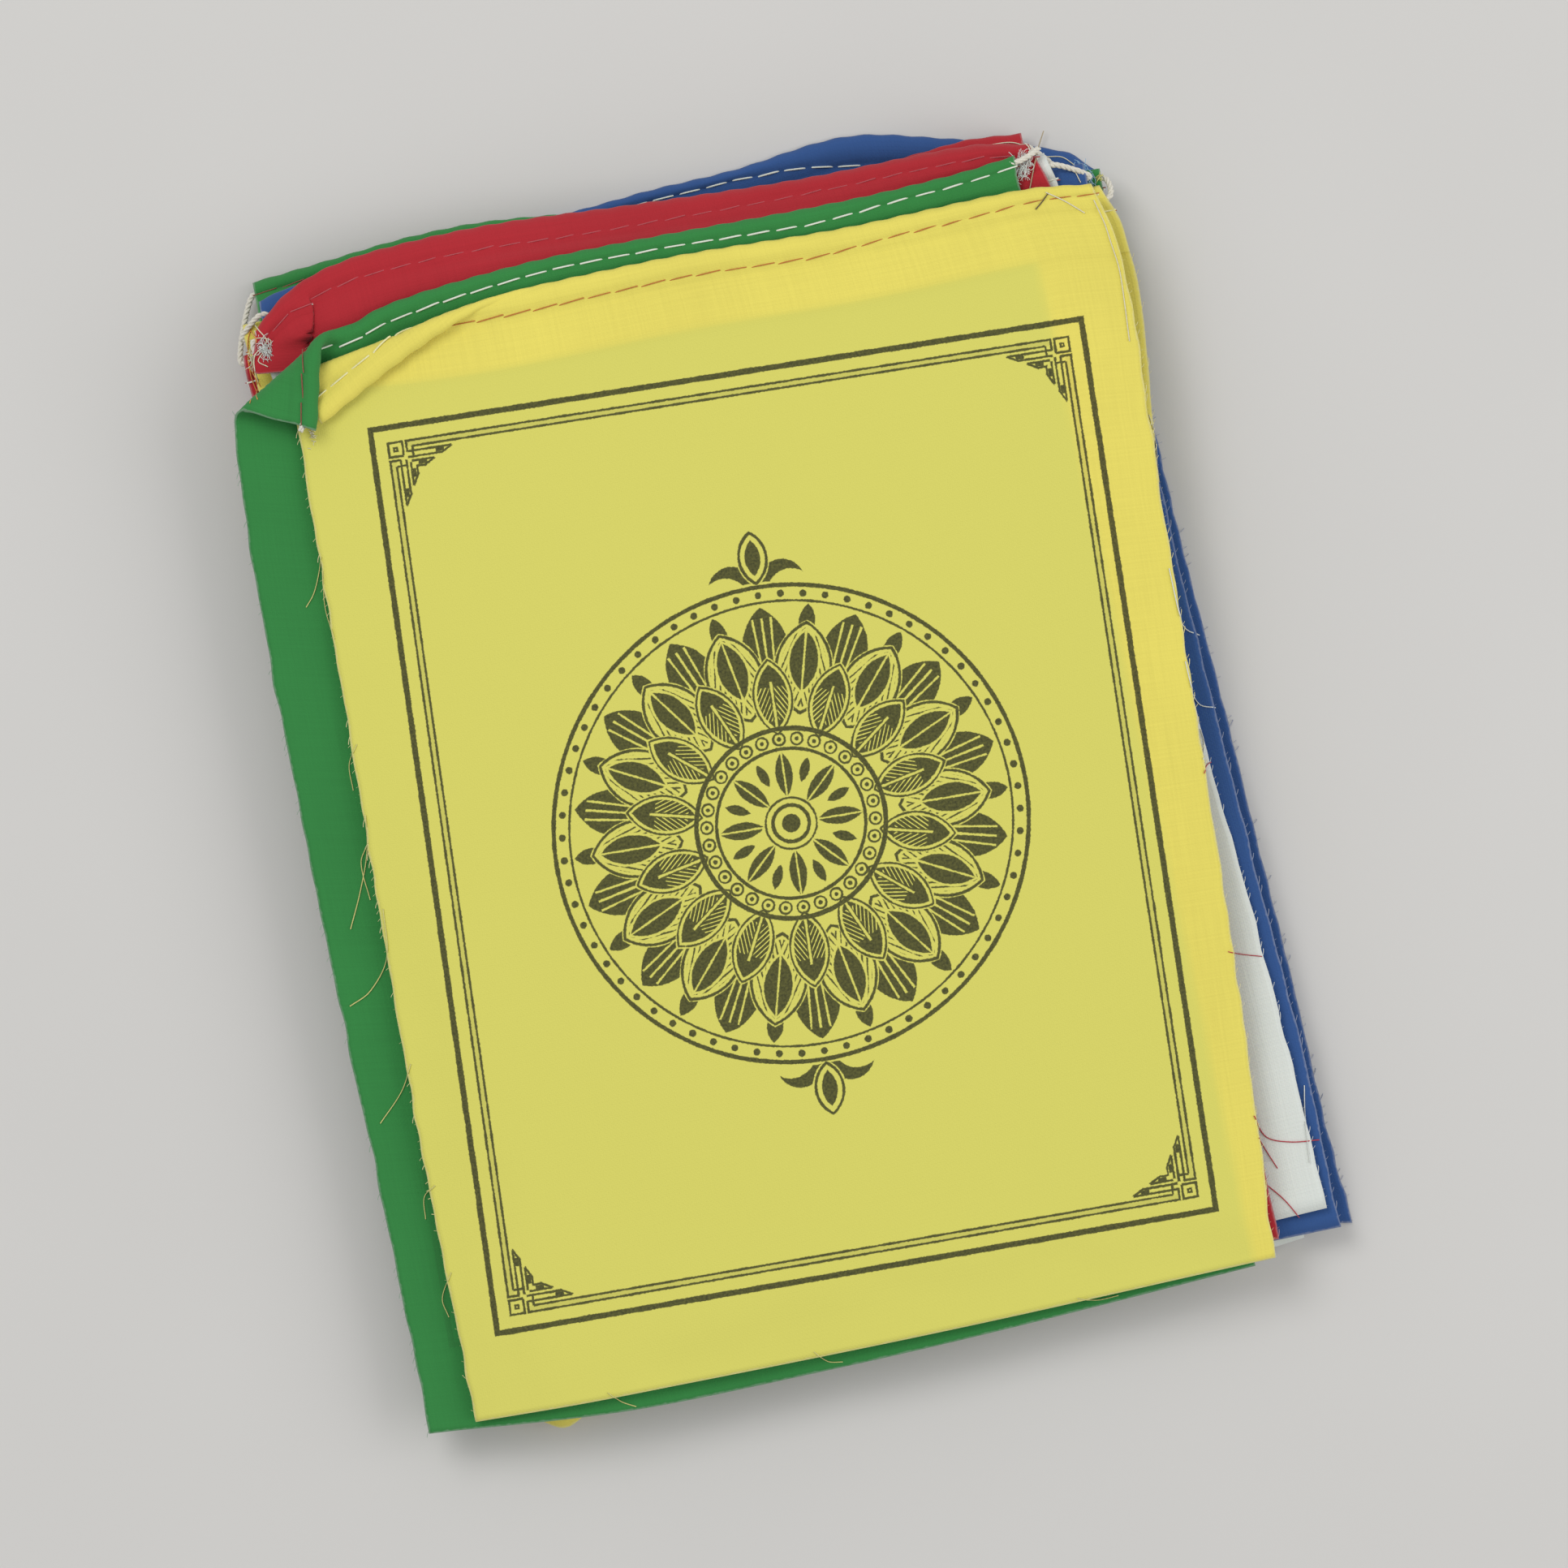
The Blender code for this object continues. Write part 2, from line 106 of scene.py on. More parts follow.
# %% Floor, lights and sky
def make_floor():
    """A plain pale floor. Its colour drifts a little, like matt painted board."""
    mesh = bpy.data.meshes.new("floor")
    half = 6.0
    corners = [(-half, -half, 0), (half, -half, 0), (half, half, 0), (-half, half, 0)]
    mesh.from_pydata(corners, [], [(0, 1, 2, 3)])
    floor = bpy.data.objects.new("floor", mesh)
    bpy.context.scene.collection.objects.link(floor)
    material = bpy.data.materials.new("pale board")
    material.use_nodes = True
    nodes, links = material.node_tree.nodes, material.node_tree.links
    shader = nodes["Principled BSDF"]
    shader.inputs["Roughness"].default_value = 0.85
    place = nodes.new("ShaderNodeTexCoord")
    drift = nodes.new("ShaderNodeTexNoise")
    drift.inputs["Scale"].default_value = 9.0
    links.new(place.outputs["Object"], drift.inputs["Vector"])
    shade = nodes.new("ShaderNodeMix")
    shade.data_type = "RGBA"
    shade.inputs["A"].default_value = (0.62, 0.61, 0.59, 1)
    shade.inputs["B"].default_value = (0.66, 0.65, 0.63, 1)
    links.new(drift.outputs["Fac"], shade.inputs["Factor"])
    links.new(shade.outputs["Result"], shader.inputs["Base Color"])
    mesh.materials.append(material)
    return floor


def make_lamp(name, place, size, power):
    """A square soft light that points at the pile."""
    data = bpy.data.lights.new(name, "AREA")
    data.size = size
    data.energy = power
    lamp = bpy.data.objects.new(name, data)
    lamp.location = place
    lamp.rotation_euler = (-Vector(place)).to_track_quat("-Z", "Y").to_euler()
    bpy.context.scene.collection.objects.link(lamp)
    return lamp


make_floor()
make_lamp("window light", (-0.6, 0.9, 1.6), 0.9, 12.4)
make_lamp("fill light", (1.3, -0.3, 1.1), 1.3, 8.8)
world = bpy.data.worlds.new("soft sky")
world.use_nodes = True
world.node_tree.nodes["Background"].inputs["Color"].default_value = (1.0, 1.0, 1.0, 1)
world.node_tree.nodes["Background"].inputs["Strength"].default_value = 0.55
bpy.context.scene.world = world
bpy.context.scene.view_settings.view_transform = "Standard"

# %% [markdown]
# ## How the ten flags lie
# Each flag is a rectangle of thin cotton, but none lies quite square: the edges bow, and every flag
# is a little askew. A flag is written down as its four corners, the points that bow each edge, and
# for the top two the line that the top left corner is folded over. Then come the seam, as its depth
# below the top edge at shares of the width, and for one flag the line of a pleat and how far the
# cloth is tucked in there. Odd flags lie face up and even ones face down, as they must when a
# string of flags is folded back and forth.

# %% The flags' outlines
FLAG_WIDTH = 165.0
FLAG_HEIGHT = 222.0
COLUMNS = ("name", "corners", "top", "right", "bottom", "left", "ear", "seam", "pleat")
FLAG_ROWS = (
    ("flag_01_yellow", ((-83.3, 118.6), (83.3, 113.7), (79.3, -107.5), (-86.8, -109.9)),
     ((-62.0, 115.6), (-41.6, 114.6), (-2.7, 115.2), (32.0, 114.4), (69.0, 115.2)),
     ((86.6, 97.7), (85.4, 51.6), (83.2, -26.0), (81.9, -60.2)),
     ((-58.5, -110.3), (11.0, -109.6)),
     ((-84.4, 96.0), (-85.8, 30.3), (-87.3, -45.0)),
     ((-84.6, 106.4), (-42.0, 113.8), 1.3),
     ((0.0, 4.6), (0.29, 4.7), (0.49, 4.4), (0.65, 4.8), (0.75, 3.6), (0.83, 3.6), (0.91, 2.8), (1.0, 2.0)),
     None),
    ("flag_02_green", ((-95.4, 119.6), (69.0, 122.3), (74.9, -108.5), (-96.5, -110.6)),
     ((-72.4, 113.8), (-62.5, 116.4), (-48.5, 118.3), (-25.0, 119.8), (33.3, 119.8), (57.1, 120.9)),
     (),
     ((-55.3, -113.6), (-17.9, -113.2), (22.2, -111.7)),
     ((-98.7, 69.3), (-98.5, -3.0), (-97.4, -57.0)),
     ((-98.9, 100.6), (-71.6, 116.4), 2.6),
     ((0.0, 3.1), (0.2, 3.3), (0.29, 2.8), (0.43, 2.2), (0.58, 2.4), (0.74, 3.1), (0.84, 2.1), (1.0, 1.9)),
     None),
    ("flag_03_red", ((-89.4, 116.3), (72.5, 124.2), (80.8, -104.1), (-86.0, -105.0)),
     ((-85.2, 120.2), (-80.6, 123.4), (-73.0, 126.3), (-61.9, 128.1), (-38.7, 129.0), (-8.9, 127.6),
      (25.1, 126.3), (61.0, 126.3)),
     ((75.4, 113.0), (78.2, 60.0)),
     (), (), None,
     ((0.0, 3.9), (0.27, 4.3), (0.4, 4.7), (0.56, 3.9), (0.72, 3.1), (1.0, 2.8)),
     ((-77.0, 122.5), (-80.3, 107.5), 8.4)),
    ("flag_04_white", ((-88.1, 111.2), (75.2, 122.0), (91.7, -99.8), (-72.9, -108.0)),
     (),
     ((77.2, 112.0), (85.2, -4.5), (88.4, -42.2), (90.4, -72.7)),
     (), (), None, ((0.0, 5.7), (1.0, 5.7)), None),
    ("flag_05_blue", ((-87.6, 122.5), (82.6, 118.6), (93.8, -104.2), (-71.0, -107.0)),
     ((-79.8, 124.2), (-40.0, 122.0)),
     ((85.7, 52.2), (87.7, 15.0), (90.2, -26.6), (92.6, -60.0)),
     (), (), None, ((0.0, 5.7), (1.0, 5.7)), None),
    ("flag_06_yellow", ((-91.8, 118.5), (85.2, 113.6), (84.0, -104.4), (-82.0, -109.0)),
     (),
     ((88.4, 104.0), (89.2, 90.0), (86.5, 59.8), (83.0, 9.0), (81.4, -60.0)),
     ((-75.0, -112.0), (-69.5, -114.9), (-63.5, -112.5), (-50.0, -109.0)),
     (), None, ((0.0, 5.7), (1.0, 5.7)), None),
    ("flag_07_green", ((-88.4, 126.8), (85.8, 117.0), (80.0, -102.0), (-90.0, -98.0)),
     ((-72.7, 128.3), (-55.5, 129.9), (-38.7, 130.0), (-10.0, 127.0)),
     (), (), (), None, ((0.0, 2.4), (0.3, 2.2), (1.0, 4.0)), None),
    ("flag_08_red", ((-93.0, 112.5), (71.5, 127.4), (74.0, -98.0), (-92.0, -105.0)),
     ((58.0, 128.0),),
     (), (), (), None, ((0.0, 5.7), (1.0, 5.7)), None),
    ("flag_09_white", ((-85.5, 117.5), (78.6, 118.8), (86.3, -105.2), (-80.0, -107.5)),
     (),
     (),
     ((79.6, -108.0), (70.0, -107.4)),
     (), None, ((0.0, 5.7), (1.0, 5.7)), None),
    ("flag_10_blue", ((-86.5, 112.0), (85.0, 117.4), (96.6, -104.1), (-69.0, -107.0)),
     ((-45.0, 125.5), (-8.4, 129.9), (12.1, 131.0), (36.0, 133.6), (54.0, 130.0), (79.7, 122.2)),
     ((87.6, 52.4), (91.3, -9.3), (93.9, -57.5), (95.2, -86.0)),
     ((-30.0, -97.0), (40.0, -95.0)),
     (), None,
     ((0.0, 2.4), (0.5, 2.0), (0.57, 1.8), (0.63, 3.2), (0.69, 5.5), (0.73, 6.4), (1.0, 5.7)), None),
)
flags = [dict(zip(COLUMNS, row)) for row in FLAG_ROWS]
for number, flag in enumerate(flags, start=1):
    flag["number"] = number
    flag["colour"] = flag["name"].split("_")[-1]
    flag["facing"] = 1 if number % 2 else -1
print("flags:", [flag["colour"] for flag in flags])

# %% [markdown]
# ## A net over a bowed rectangle
# To draw cloth inside four bowed edges, every point of a straight net is moved so that the net's
# rim lands on the edges. A Coons patch does that: it rules the net from top to bottom, rules it
# again from left to right, and takes the plain four-cornered patch off the sum.

# %% Smooth edges and the net between them
def edge_places(points, shares):
    """Where a smooth line through the points has got to at each share of its length."""
    points = np.array(points, float)
    steps = np.linalg.norm(np.diff(points, axis=0), axis=1)
    places = np.concatenate([[0.0], np.cumsum(steps)]) / steps.sum()
    before = np.maximum(np.arange(len(points)) - 1, 0)
    after = np.minimum(np.arange(len(points)) + 1, len(points) - 1)
    slopes = (points[after] - points[before]) / (places[after] - places[before])[:, None]
    k = np.clip(np.searchsorted(places, shares, side="right") - 1, 0, len(points) - 2)
    span = (places[k + 1] - places[k])[..., None]
    t = (np.asarray(shares) - places[k])[..., None] / span
    return (
        points[k] * (2 * t**3 - 3 * t**2 + 1)
        + slopes[k] * span * (t**3 - 2 * t**2 + t)
        + points[k + 1] * (3 * t**2 - 2 * t**3)
        + slopes[k + 1] * span * (t**3 - t**2)
    )


def net_places(flag, across, depth):
    """The flag's net seen from above, in millimetres. Depths below the top edge are a row each, or
    one for every point of the net."""
    top_left, top_right, bottom_right, bottom_left = np.array(flag["corners"], float)
    down = np.asarray(depth, float) / FLAG_HEIGHT
    if down.ndim == 1:
        down = np.broadcast_to(down[:, None], (len(down), len(across)))
    top = edge_places([top_left, *flag["top"], top_right], across)[None]
    bottom = edge_places([bottom_left, *flag["bottom"], bottom_right], across)[None]
    left = edge_places([top_left, *flag["left"], bottom_left], down)
    right = edge_places([top_right, *flag["right"], bottom_right], down)
    a = np.asarray(across)[None, :, None]
    d = down[..., None]
    plain = (top_left * (1 - a) + top_right * a) * (1 - d) + (bottom_left * (1 - a) + bottom_right * a) * d
    return top * (1 - d) + bottom * d + left * (1 - a) + right * a - plain


print("middle of the top flag:", net_places(flags[0], [0.5], [FLAG_HEIGHT / 2]).round(1).tolist())

# %% [markdown]
# ## A corner folded over
# A folded corner is the same cloth turned over a line. Each point beyond the line goes round a
# small half circle and then lies mirrored on the other side. Folding the net itself, and not a
# second piece, keeps the weave, the stitches and the print on the right side of the cloth.

# %% Turn a corner over its fold line
def turn_corner(flag, places):
    """Where each place of the flag comes to lie, how far it has turned, and the fold's direction."""
    if flag["ear"] is None:
        return places, np.zeros(places.shape[:-1]), np.zeros(2)
    start, end, radius = flag["ear"]
    along = np.subtract(end, start) / math.dist(start, end)
    outward = np.array([-along[1], along[0]])
    beyond = (places - start) @ outward
    half_bend = math.pi * radius / 2
    turned = np.clip((beyond + half_bend) / radius, 0.0, math.pi)
    bent = radius * np.sin(turned) - half_bend
    lies = np.where(turned <= 0, beyond, np.where(turned >= math.pi, -beyond, bent))
    return places + (lies - beyond)[..., None] * outward, turned, outward


print("flags with a folded corner:", [flag["name"] for flag in flags if flag["ear"]])

# %% [markdown]
# ## How high the cloth lies
# The solids already lie on each other, so they know how high each layer is. Rays straight up find
# the underside of a flag, and rays straight down, taken one skin further, find the underside of a
# folded corner. The finds are spread into the gaps and evened out, because the solids have flat
# faces and cloth has none.

# %% Nets of heights from the solids
NET_ACROSS = np.linspace(0, 1, 67)
NET_DEPTH = np.linspace(0, FLAG_HEIGHT, 91)
UP = Vector((0, 0, 1))
BELOW_ALL = -9.0
ABOVE_ALL = 99.0
EVENINGS = 4


def solid_tree(node):
    """A solid of the frame as a tree that rays can be cast at, in local millimetres."""
    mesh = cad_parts[node].data
    points = [np.array(v.co) / MM - shift for v in mesh.vertices]
    return BVHTree.FromPolygons([tuple(p) for p in points], [tuple(p.vertices) for p in mesh.polygons])


def neighbours_sum(net):
    """The sum of the four neighbours of every point of a net, with the rim repeated outside it."""
    wide = np.pad(net, 1, mode="edge")
    return wide[:-2, 1:-1] + wide[2:, 1:-1] + wide[1:-1, :-2] + wide[1:-1, 2:]


def spread_and_even(heights):
    """Carries known heights into the unknown places beside them, and evens the whole net out."""
    known = ~np.isnan(heights)
    net = np.where(known, heights, 0.0)
    while known.any() and not known.all():
        count = neighbours_sum(known.astype(float))
        fresh = ~known & (count > 0)
        net = np.where(fresh, neighbours_sum(net * known) / np.maximum(count, 1), net)
        known = known | fresh
    for _ in range(EVENINGS):
        net = net / 2 + neighbours_sum(net) / 8
    return net


def found_heights(flag):
    """The undersides of the flag's own layer and of its folded corner, where rays find them."""
    places = net_places(flag, np.clip(NET_ACROSS, 0.01, 0.99), np.clip(NET_DEPTH, 0.6, FLAG_HEIGHT - 0.6))
    spots, turned, _ = turn_corner(flag, places)
    low = np.full(turned.shape, np.nan)
    high = np.full(turned.shape, np.nan)
    for row in range(turned.shape[0]):
        for column in range(turned.shape[1]):
            x, y = spots[row, column]
            if turned[row, column] <= 0:
                hit = flag["solid"].ray_cast(Vector((x, y, BELOW_ALL)), UP)[0]
                if hit is not None:
                    low[row, column] = hit.z
            elif turned[row, column] >= math.pi:
                skin = flag["solid"].ray_cast(Vector((x, y, ABOVE_ALL)), -UP)[0]
                hit = skin and flag["solid"].ray_cast(skin - UP * 0.02, -UP)[0]
                if hit is not None:
                    high[row, column] = hit.z
    return spots, low, high


print("net for heights:", len(NET_ACROSS), "by", len(NET_DEPTH))

# %% [markdown]
# ## Edges that hang
# The solids are stiff, so where a flag reaches past the ones below it, its edge stands out like
# card. Cotton bends under its own weight, by the square of how far it reaches. So each flag, from
# the lowest up, is asked where nothing lies under it and how far that is from where something
# does, and its free edge is let down by that sum. Where a flag lies on another, it goes down with
# it. The heading, with the string in it, is stiff and stays as it is.

# %% Let the free edges down
from mathutils.kdtree import KDTree

SAG = 0.022
MOST_SAG = 2.5
LEFT_ROOM = 0.35
FLOOR_TOUCH = 0.6
RAY_DROP = 0.05
HEADING_HOLDS = 18.0
HOLD_FADES = 25.0


def step_up(value):
    """0 below 0, 1 above 1, and smooth between."""
    share = np.clip(value, 0, 1)
    return share * share * (3 - 2 * share)


def plan_tree(spots):
    """Places seen from above, ready to be asked for the nearest one."""
    tree = KDTree(len(spots))
    for number, (x, y) in enumerate(spots):
        tree.insert((x, y, 0.0), number)
    tree.balance()
    return tree


def sagging(flag, spots, low, lower):
    """The net of the underside after the free edges have gone down."""
    known = ~np.isnan(low)
    places, heights = spots[known], low[known]
    sags, free = np.zeros(len(places)), np.zeros(len(places), bool)
    for number, ((x, y), height) in enumerate(zip(places, heights)):
        start = Vector((x, y, height - RAY_DROP))
        hits = [other["solid"].ray_cast(start, -UP)[0] for other in lower]
        under = [(hit.z, k) for k, hit in enumerate(hits) if hit is not None]
        if under:
            below = lower[max(under)[1]]
            sags[number] = below["sags"][below["plan"].find((x, y, 0.0))[1]]
        else:
            free[number] = height > FLOOR_TOUCH
    firm = plan_tree(places[~free])
    nearest = [firm.find((x, y, 0.0)) for x, y in places[free]]
    reach = np.array([distance for _, _, distance in nearest])
    taken = sags[~free][[number for _, number, _ in nearest]]
    deep = np.broadcast_to(NET_DEPTH[:, None], low.shape)[known][free]
    own = SAG * reach**2 * step_up((deep - HEADING_HOLDS) / HOLD_FADES)
    sags[free] = np.minimum(np.minimum(taken + own, MOST_SAG), np.maximum(heights[free] - LEFT_ROOM, 0))
    flag["plan"], flag["sags"] = plan_tree(places), sags
    hanging = low.copy()
    hanging[known] -= sags
    return hanging


for flag in reversed(flags):
    flag["solid"] = solid_tree(flag["name"])
    spots, low, high = found_heights(flag)
    low = sagging(flag, spots, low, flags[flag["number"]:])
    flag["low"], flag["high"] = spread_and_even(low), spread_and_even(high)
print("most that an edge hangs down, in mm:", [round(float(flag["sags"].max()), 1) for flag in flags])


def read_net(net, across, depth):
    """A net of heights read between its points, for a depth at every point."""
    rows = np.array([np.interp(across, NET_ACROSS, row) for row in net])
    return np.array([np.interp(depth[:, c], NET_DEPTH, rows[:, c]) for c in range(len(across))]).T


undersides = [(round(float(flag["low"].min()), 1), round(float(flag["low"].max()), 1)) for flag in flags]
print("undersides in mm:", undersides)

# %% [markdown]
# ## The heading, seen from its end
# A flag's top edge is turned over the string and sewn down: a roll round the string, a line of
# stitches under it, and then the flap of the hem. Seen from the end, the cloth is one line: up the
# printed side, round the roll, back under the stitches and down to the edge of the hem. Each row
# of the net is one point of that line: how far below the top edge, how far to the printed side of
# the cloth's middle, and whether it is past the top.

# %% The cloth's cross-section
STITCH_DEPTH = 5.7
HEM_DEPTH = 15.0
SOLID_DEPTHS = (0.0, 0.9, 2.8, 4.8, 5.7, 7.2, 14.5, 15.5)
SOLID_THICKNESS = (1.3, 2.1, 2.4, 1.9, 1.0, 1.2, 1.2, 1.0)
FRONT_OF_HEADING = (
    (16.2, 0.02), (15.4, 0.12), (14.7, 0.22), (13.8, 0.25), (12.8, 0.25), (11.9, 0.25), (11.0, 0.25),
    (10.4, 0.25), (9.9, 0.25), (9.5, 0.25), (9.1, 0.25), (8.7, 0.25), (8.3, 0.25), (7.8, 0.26), (7.3, 0.25),
    (6.8, 0.24), (6.2, 0.22), (5.7, 0.2), (5.3, 0.28), (4.9, 0.43), (4.3, 0.66), (3.6, 0.84), (2.8, 0.93),
    (2.0, 0.9), (1.3, 0.76), (0.7, 0.54), (0.35, 0.3),
)
BACK_OF_HEADING = tuple((depth, -out) for depth, out in reversed(FRONT_OF_HEADING) if depth < HEM_DEPTH)


def cross_section(step):
    """Rows of (depth, out, past the top) from the bottom edge up, over the roll and down the hem."""
    panel = np.arange(FLAG_HEIGHT, FRONT_OF_HEADING[0][0] + step / 2, -step)
    rows = [(depth, 0.0, 0) for depth in panel]
    rows += [(depth, out, 0) for depth, out in FRONT_OF_HEADING]
    # The top of the roll, the hem behind it, and the hem's cut edge.
    rows += [(0.2, 0.0, 1)]
    rows += [(depth, out, 1) for depth, out in BACK_OF_HEADING]
    rows += [(HEM_DEPTH, -0.22, 1)]
    return np.array(rows)


print("rows in a fine cross-section:", len(cross_section(1.2)))

# %% [markdown]
# ## Ripples and puckers
# Cotton this thin never lies quite flat. Long ripples run through the panels, and the seam puckers:
# at each stitch the thread pulls the layers together and between stitches they stand up. The seam
# could be sculpted by hand, but its puckers follow the stitches, so a sum reaches every flag alike.

# %% How far the cloth stands off its flat lie
STITCH_PITCH = 5.6
SEAM_REACH = 14.5


def ripples(x, y, seed, length, waves=7):
    """A smooth uneven surface between about -1 and 1, made of a few waves in random directions."""
    random = np.random.default_rng(seed)
    total = 0.0
    for _ in range(waves):
        angle, phase = random.uniform(0, 2 * math.pi, 2)
        wave = 2 * math.pi / (length * random.uniform(0.7, 1.6))
        total = total + np.sin((x * math.cos(angle) + y * math.sin(angle)) * wave + phase)
    return total / math.sqrt(waves) / 1.6


def seam_depth(flag, across):
    """How far below the top edge the seam runs. It wanders, and the roll grows or shrinks with it."""
    shares, depths = zip(*flag["seam"])
    return np.interp(across, shares, depths)


def wander(flag, across, depth):
    """The depths of a cross-section at every point, moved so that its seam lies on the real one."""
    seam = seam_depth(flag, across)[None, :]
    deep = np.asarray(depth, float)[:, None]
    above = deep * seam / STITCH_DEPTH
    below = seam + (deep - STITCH_DEPTH) * (SEAM_REACH - seam) / (SEAM_REACH - STITCH_DEPTH)
    return np.where(deep <= STITCH_DEPTH, above, np.where(deep < SEAM_REACH, below, deep))


def between_stitches(along):
    """0 where a stitch goes through the cloth and 1 midway to the next."""
    return 0.5 - 0.5 * np.cos(2 * math.pi * along / STITCH_PITCH)


def seam_pucker(along, depth):
    """How far the layers stand apart beside the seam."""
    return 0.2 * between_stitches(along) * np.exp(-(((depth - STITCH_DEPTH) / 1.6) ** 2))


def panel_ripple(flag, along, depth):
    """How far the whole cloth lifts off its flat lie: little at the middle, more at the free edges."""
    from_side = np.minimum(along, FLAG_WIDTH - along)
    from_edge = np.minimum(from_side, FLAG_HEIGHT - depth)
    loose = 0.16 + 0.2 * np.exp(-from_edge / 7.0)
    drag = 0.16 * np.exp(-np.abs(depth - STITCH_DEPTH) / 9.0)
    seed = 10 * flag["number"]
    return loose * ripples(along, depth, seed, 55.0) + drag * ripples(along, depth * 0.25, seed + 1, 9.0)


print("pucker at its highest in mm:", float(seam_pucker(STITCH_PITCH / 2, STITCH_DEPTH)))

# %% [markdown]
# ## Laying the cloth
# Now every point of the net has its place: where it is seen from above, how high its layer lies,
# and how far it is from the middle of that layer. Over a folded corner that last distance turns
# with the cloth.

# %% The middle surface of a flag
def solid_thickness(depth):
    """How thick the solids are at each depth below the top edge, with the roll and the hem."""
    return np.interp(depth, SOLID_DEPTHS, SOLID_THICKNESS)


def pleated(flag, spots, middle, along, deep):
    """The red flag's loose end: its side is tucked in below the heading, which leaves a pleat."""
    start, end, tuck = flag["pleat"]
    # The side stands out a little at the heading, and is tucked in below it.
    outward = 1.8 * step_up(deep / 8.0) * np.exp(-((along / 6.0) ** 2))
    inward = (tuck + 1.8) * step_up((deep - 8.3) / 1.3) * np.exp(-((along / (1.15 * tuck)) ** 2))
    spots = spots + np.stack([inward - outward, np.zeros_like(inward)], axis=2)
    line = np.subtract(end, start) / math.dist(start, end)
    across = np.array([-line[1], line[0]])
    side = (spots - start) @ across
    down = (spots - start) @ line
    # Along the pleat's line the cloth is pushed over itself: a flap stands up beside a groove.
    reach = step_up((down - 0.5) / 3.5) * step_up((12.5 - down) / 3.5)
    over = 2.2 * (np.exp(-(((side + 0.8) / 1.2) ** 2)) - np.exp(-(((side - 0.8) / 1.2) ** 2)))
    spots = spots + across * (over * reach)[..., None]
    flap = 1.2 * step_up((0.6 - side) / 1.2) * np.exp(-(np.minimum(side + 1.0, 0) / 7.0) ** 2)
    groove = -0.25 * step_up((side + 0.3) / 0.6) * np.exp(-np.maximum(side, 0) / 1.6)
    return spots, middle + reach * (flap + groove)


def ragged_sides(along, deep, seed):
    """How far a cut side wanders inwards and outwards, fading towards the middle of the flag."""
    left = ripples(deep, deep * 0.3, seed + 5, 11.0) * np.exp(-along / 4.0)
    right = ripples(deep, deep * 0.3, seed + 6, 11.0) * np.exp(-(FLAG_WIDTH - along) / 4.0)
    return 0.28 * (left + right)


def lay(flag, across, depth, out):
    """Points of the cloth, in local millimetres, for a net of shares across and rows of depths."""
    across = np.asarray(across, float)
    along = across[None, :] * FLAG_WIDTH
    nominal = np.asarray(depth, float)[:, None]
    deep = wander(flag, across, depth)
    scallop = 0.22 * between_stitches(along) * np.clip(1 - nominal / 4.0, 0, 1)
    places = net_places(flag, across, deep)
    up_the_cloth = net_places(flag, across, [0.0]) - net_places(flag, across, [10.0])
    over_the_cloth = np.array([1.0, 0.0])
    places = places + up_the_cloth / 10.0 * scallop[..., None]
    places = places + over_the_cloth * ragged_sides(along, deep, 10 * flag["number"])[..., None]
    spots, turned, outward = turn_corner(flag, places)
    low = read_net(flag["low"], across, deep)
    high = read_net(flag["high"], across, deep)
    middle = low + (high - low) * (1 - np.cos(turned)) / 2 + solid_thickness(deep) / 2
    middle = middle + panel_ripple(flag, along, deep)
    reach = np.asarray(out, float)[:, None] + np.sign(out)[:, None] * seam_pucker(along, nominal)
    off = flag["facing"] * reach
    if flag["pleat"]:
        spots, middle = pleated(flag, spots, middle, along, deep)
    flat = spots - outward * (np.sin(turned) * off)[..., None]
    return np.concatenate([flat, (middle + np.cos(turned) * off)[..., None]], axis=2), turned


test = lay(flags[0], np.linspace(0, 1, 5), [100.0], [0.0])[0]
print("heights across the top flag in mm:", test[0, :, 2].round(2))

# %% [markdown]
# ## From a surface to cloth with two sides
# The printed side and the plain side of a flag look different, so both are made: the same net
# twice, half the cloth's thickness to each side of the middle, with a rim between them. A Solidify
# modifier would do it too, but here each side also gets its own material and its own places for
# the print, and the net is at hand.

# %% The two sides, their faces and the places of the print
CLOTH_THICK = 0.42
PRINT_WIDTH = 147.6
PRINT_HEIGHT = 184.6
PRINT_INSETS = ((13.1, -26.2), (-7.0, -26.1), (-9.9, 11.8), (7.5, 16.7))
NO_PRINT_THERE = 900.0


def print_places(flag, places, past_top):
    """Places from the middle of the print, in millimetres. Straight lines of the print stay straight."""
    top_left, top_right, bottom_right, bottom_left = np.array(flag["corners"]) + np.array(PRINT_INSETS)
    x, y = places[..., 0], places[..., 1]

    def line_height(a, b):
        return a[1] + (b[1] - a[1]) * (x - a[0]) / (b[0] - a[0])

    def line_side(a, b):
        return a[0] + (b[0] - a[0]) * (y - a[1]) / (b[1] - a[1])

    high, low = line_height(top_left, top_right), line_height(bottom_left, bottom_right)
    left, right = line_side(bottom_left, top_left), line_side(bottom_right, top_right)
    printed_x = ((x - left) / (right - left) - 0.5) * PRINT_WIDTH
    printed_y = ((y - low) / (high - low) - 0.5) * PRINT_HEIGHT
    printed_y = np.where(past_top[:, None] > 0, NO_PRINT_THERE, printed_y)
    return np.stack([printed_x, printed_y], axis=2)


def sides_of(points, facing):
    """The two sides of a sheet round its middle surface: the printed side first."""
    over = np.gradient(points, axis=1)
    up = np.gradient(points, axis=0)
    normals = np.cross(over, up) * facing
    normals /= np.maximum(np.linalg.norm(normals, axis=2, keepdims=True), 1e-9)
    return points + normals * (CLOTH_THICK / 2), points - normals * (CLOTH_THICK / 2)


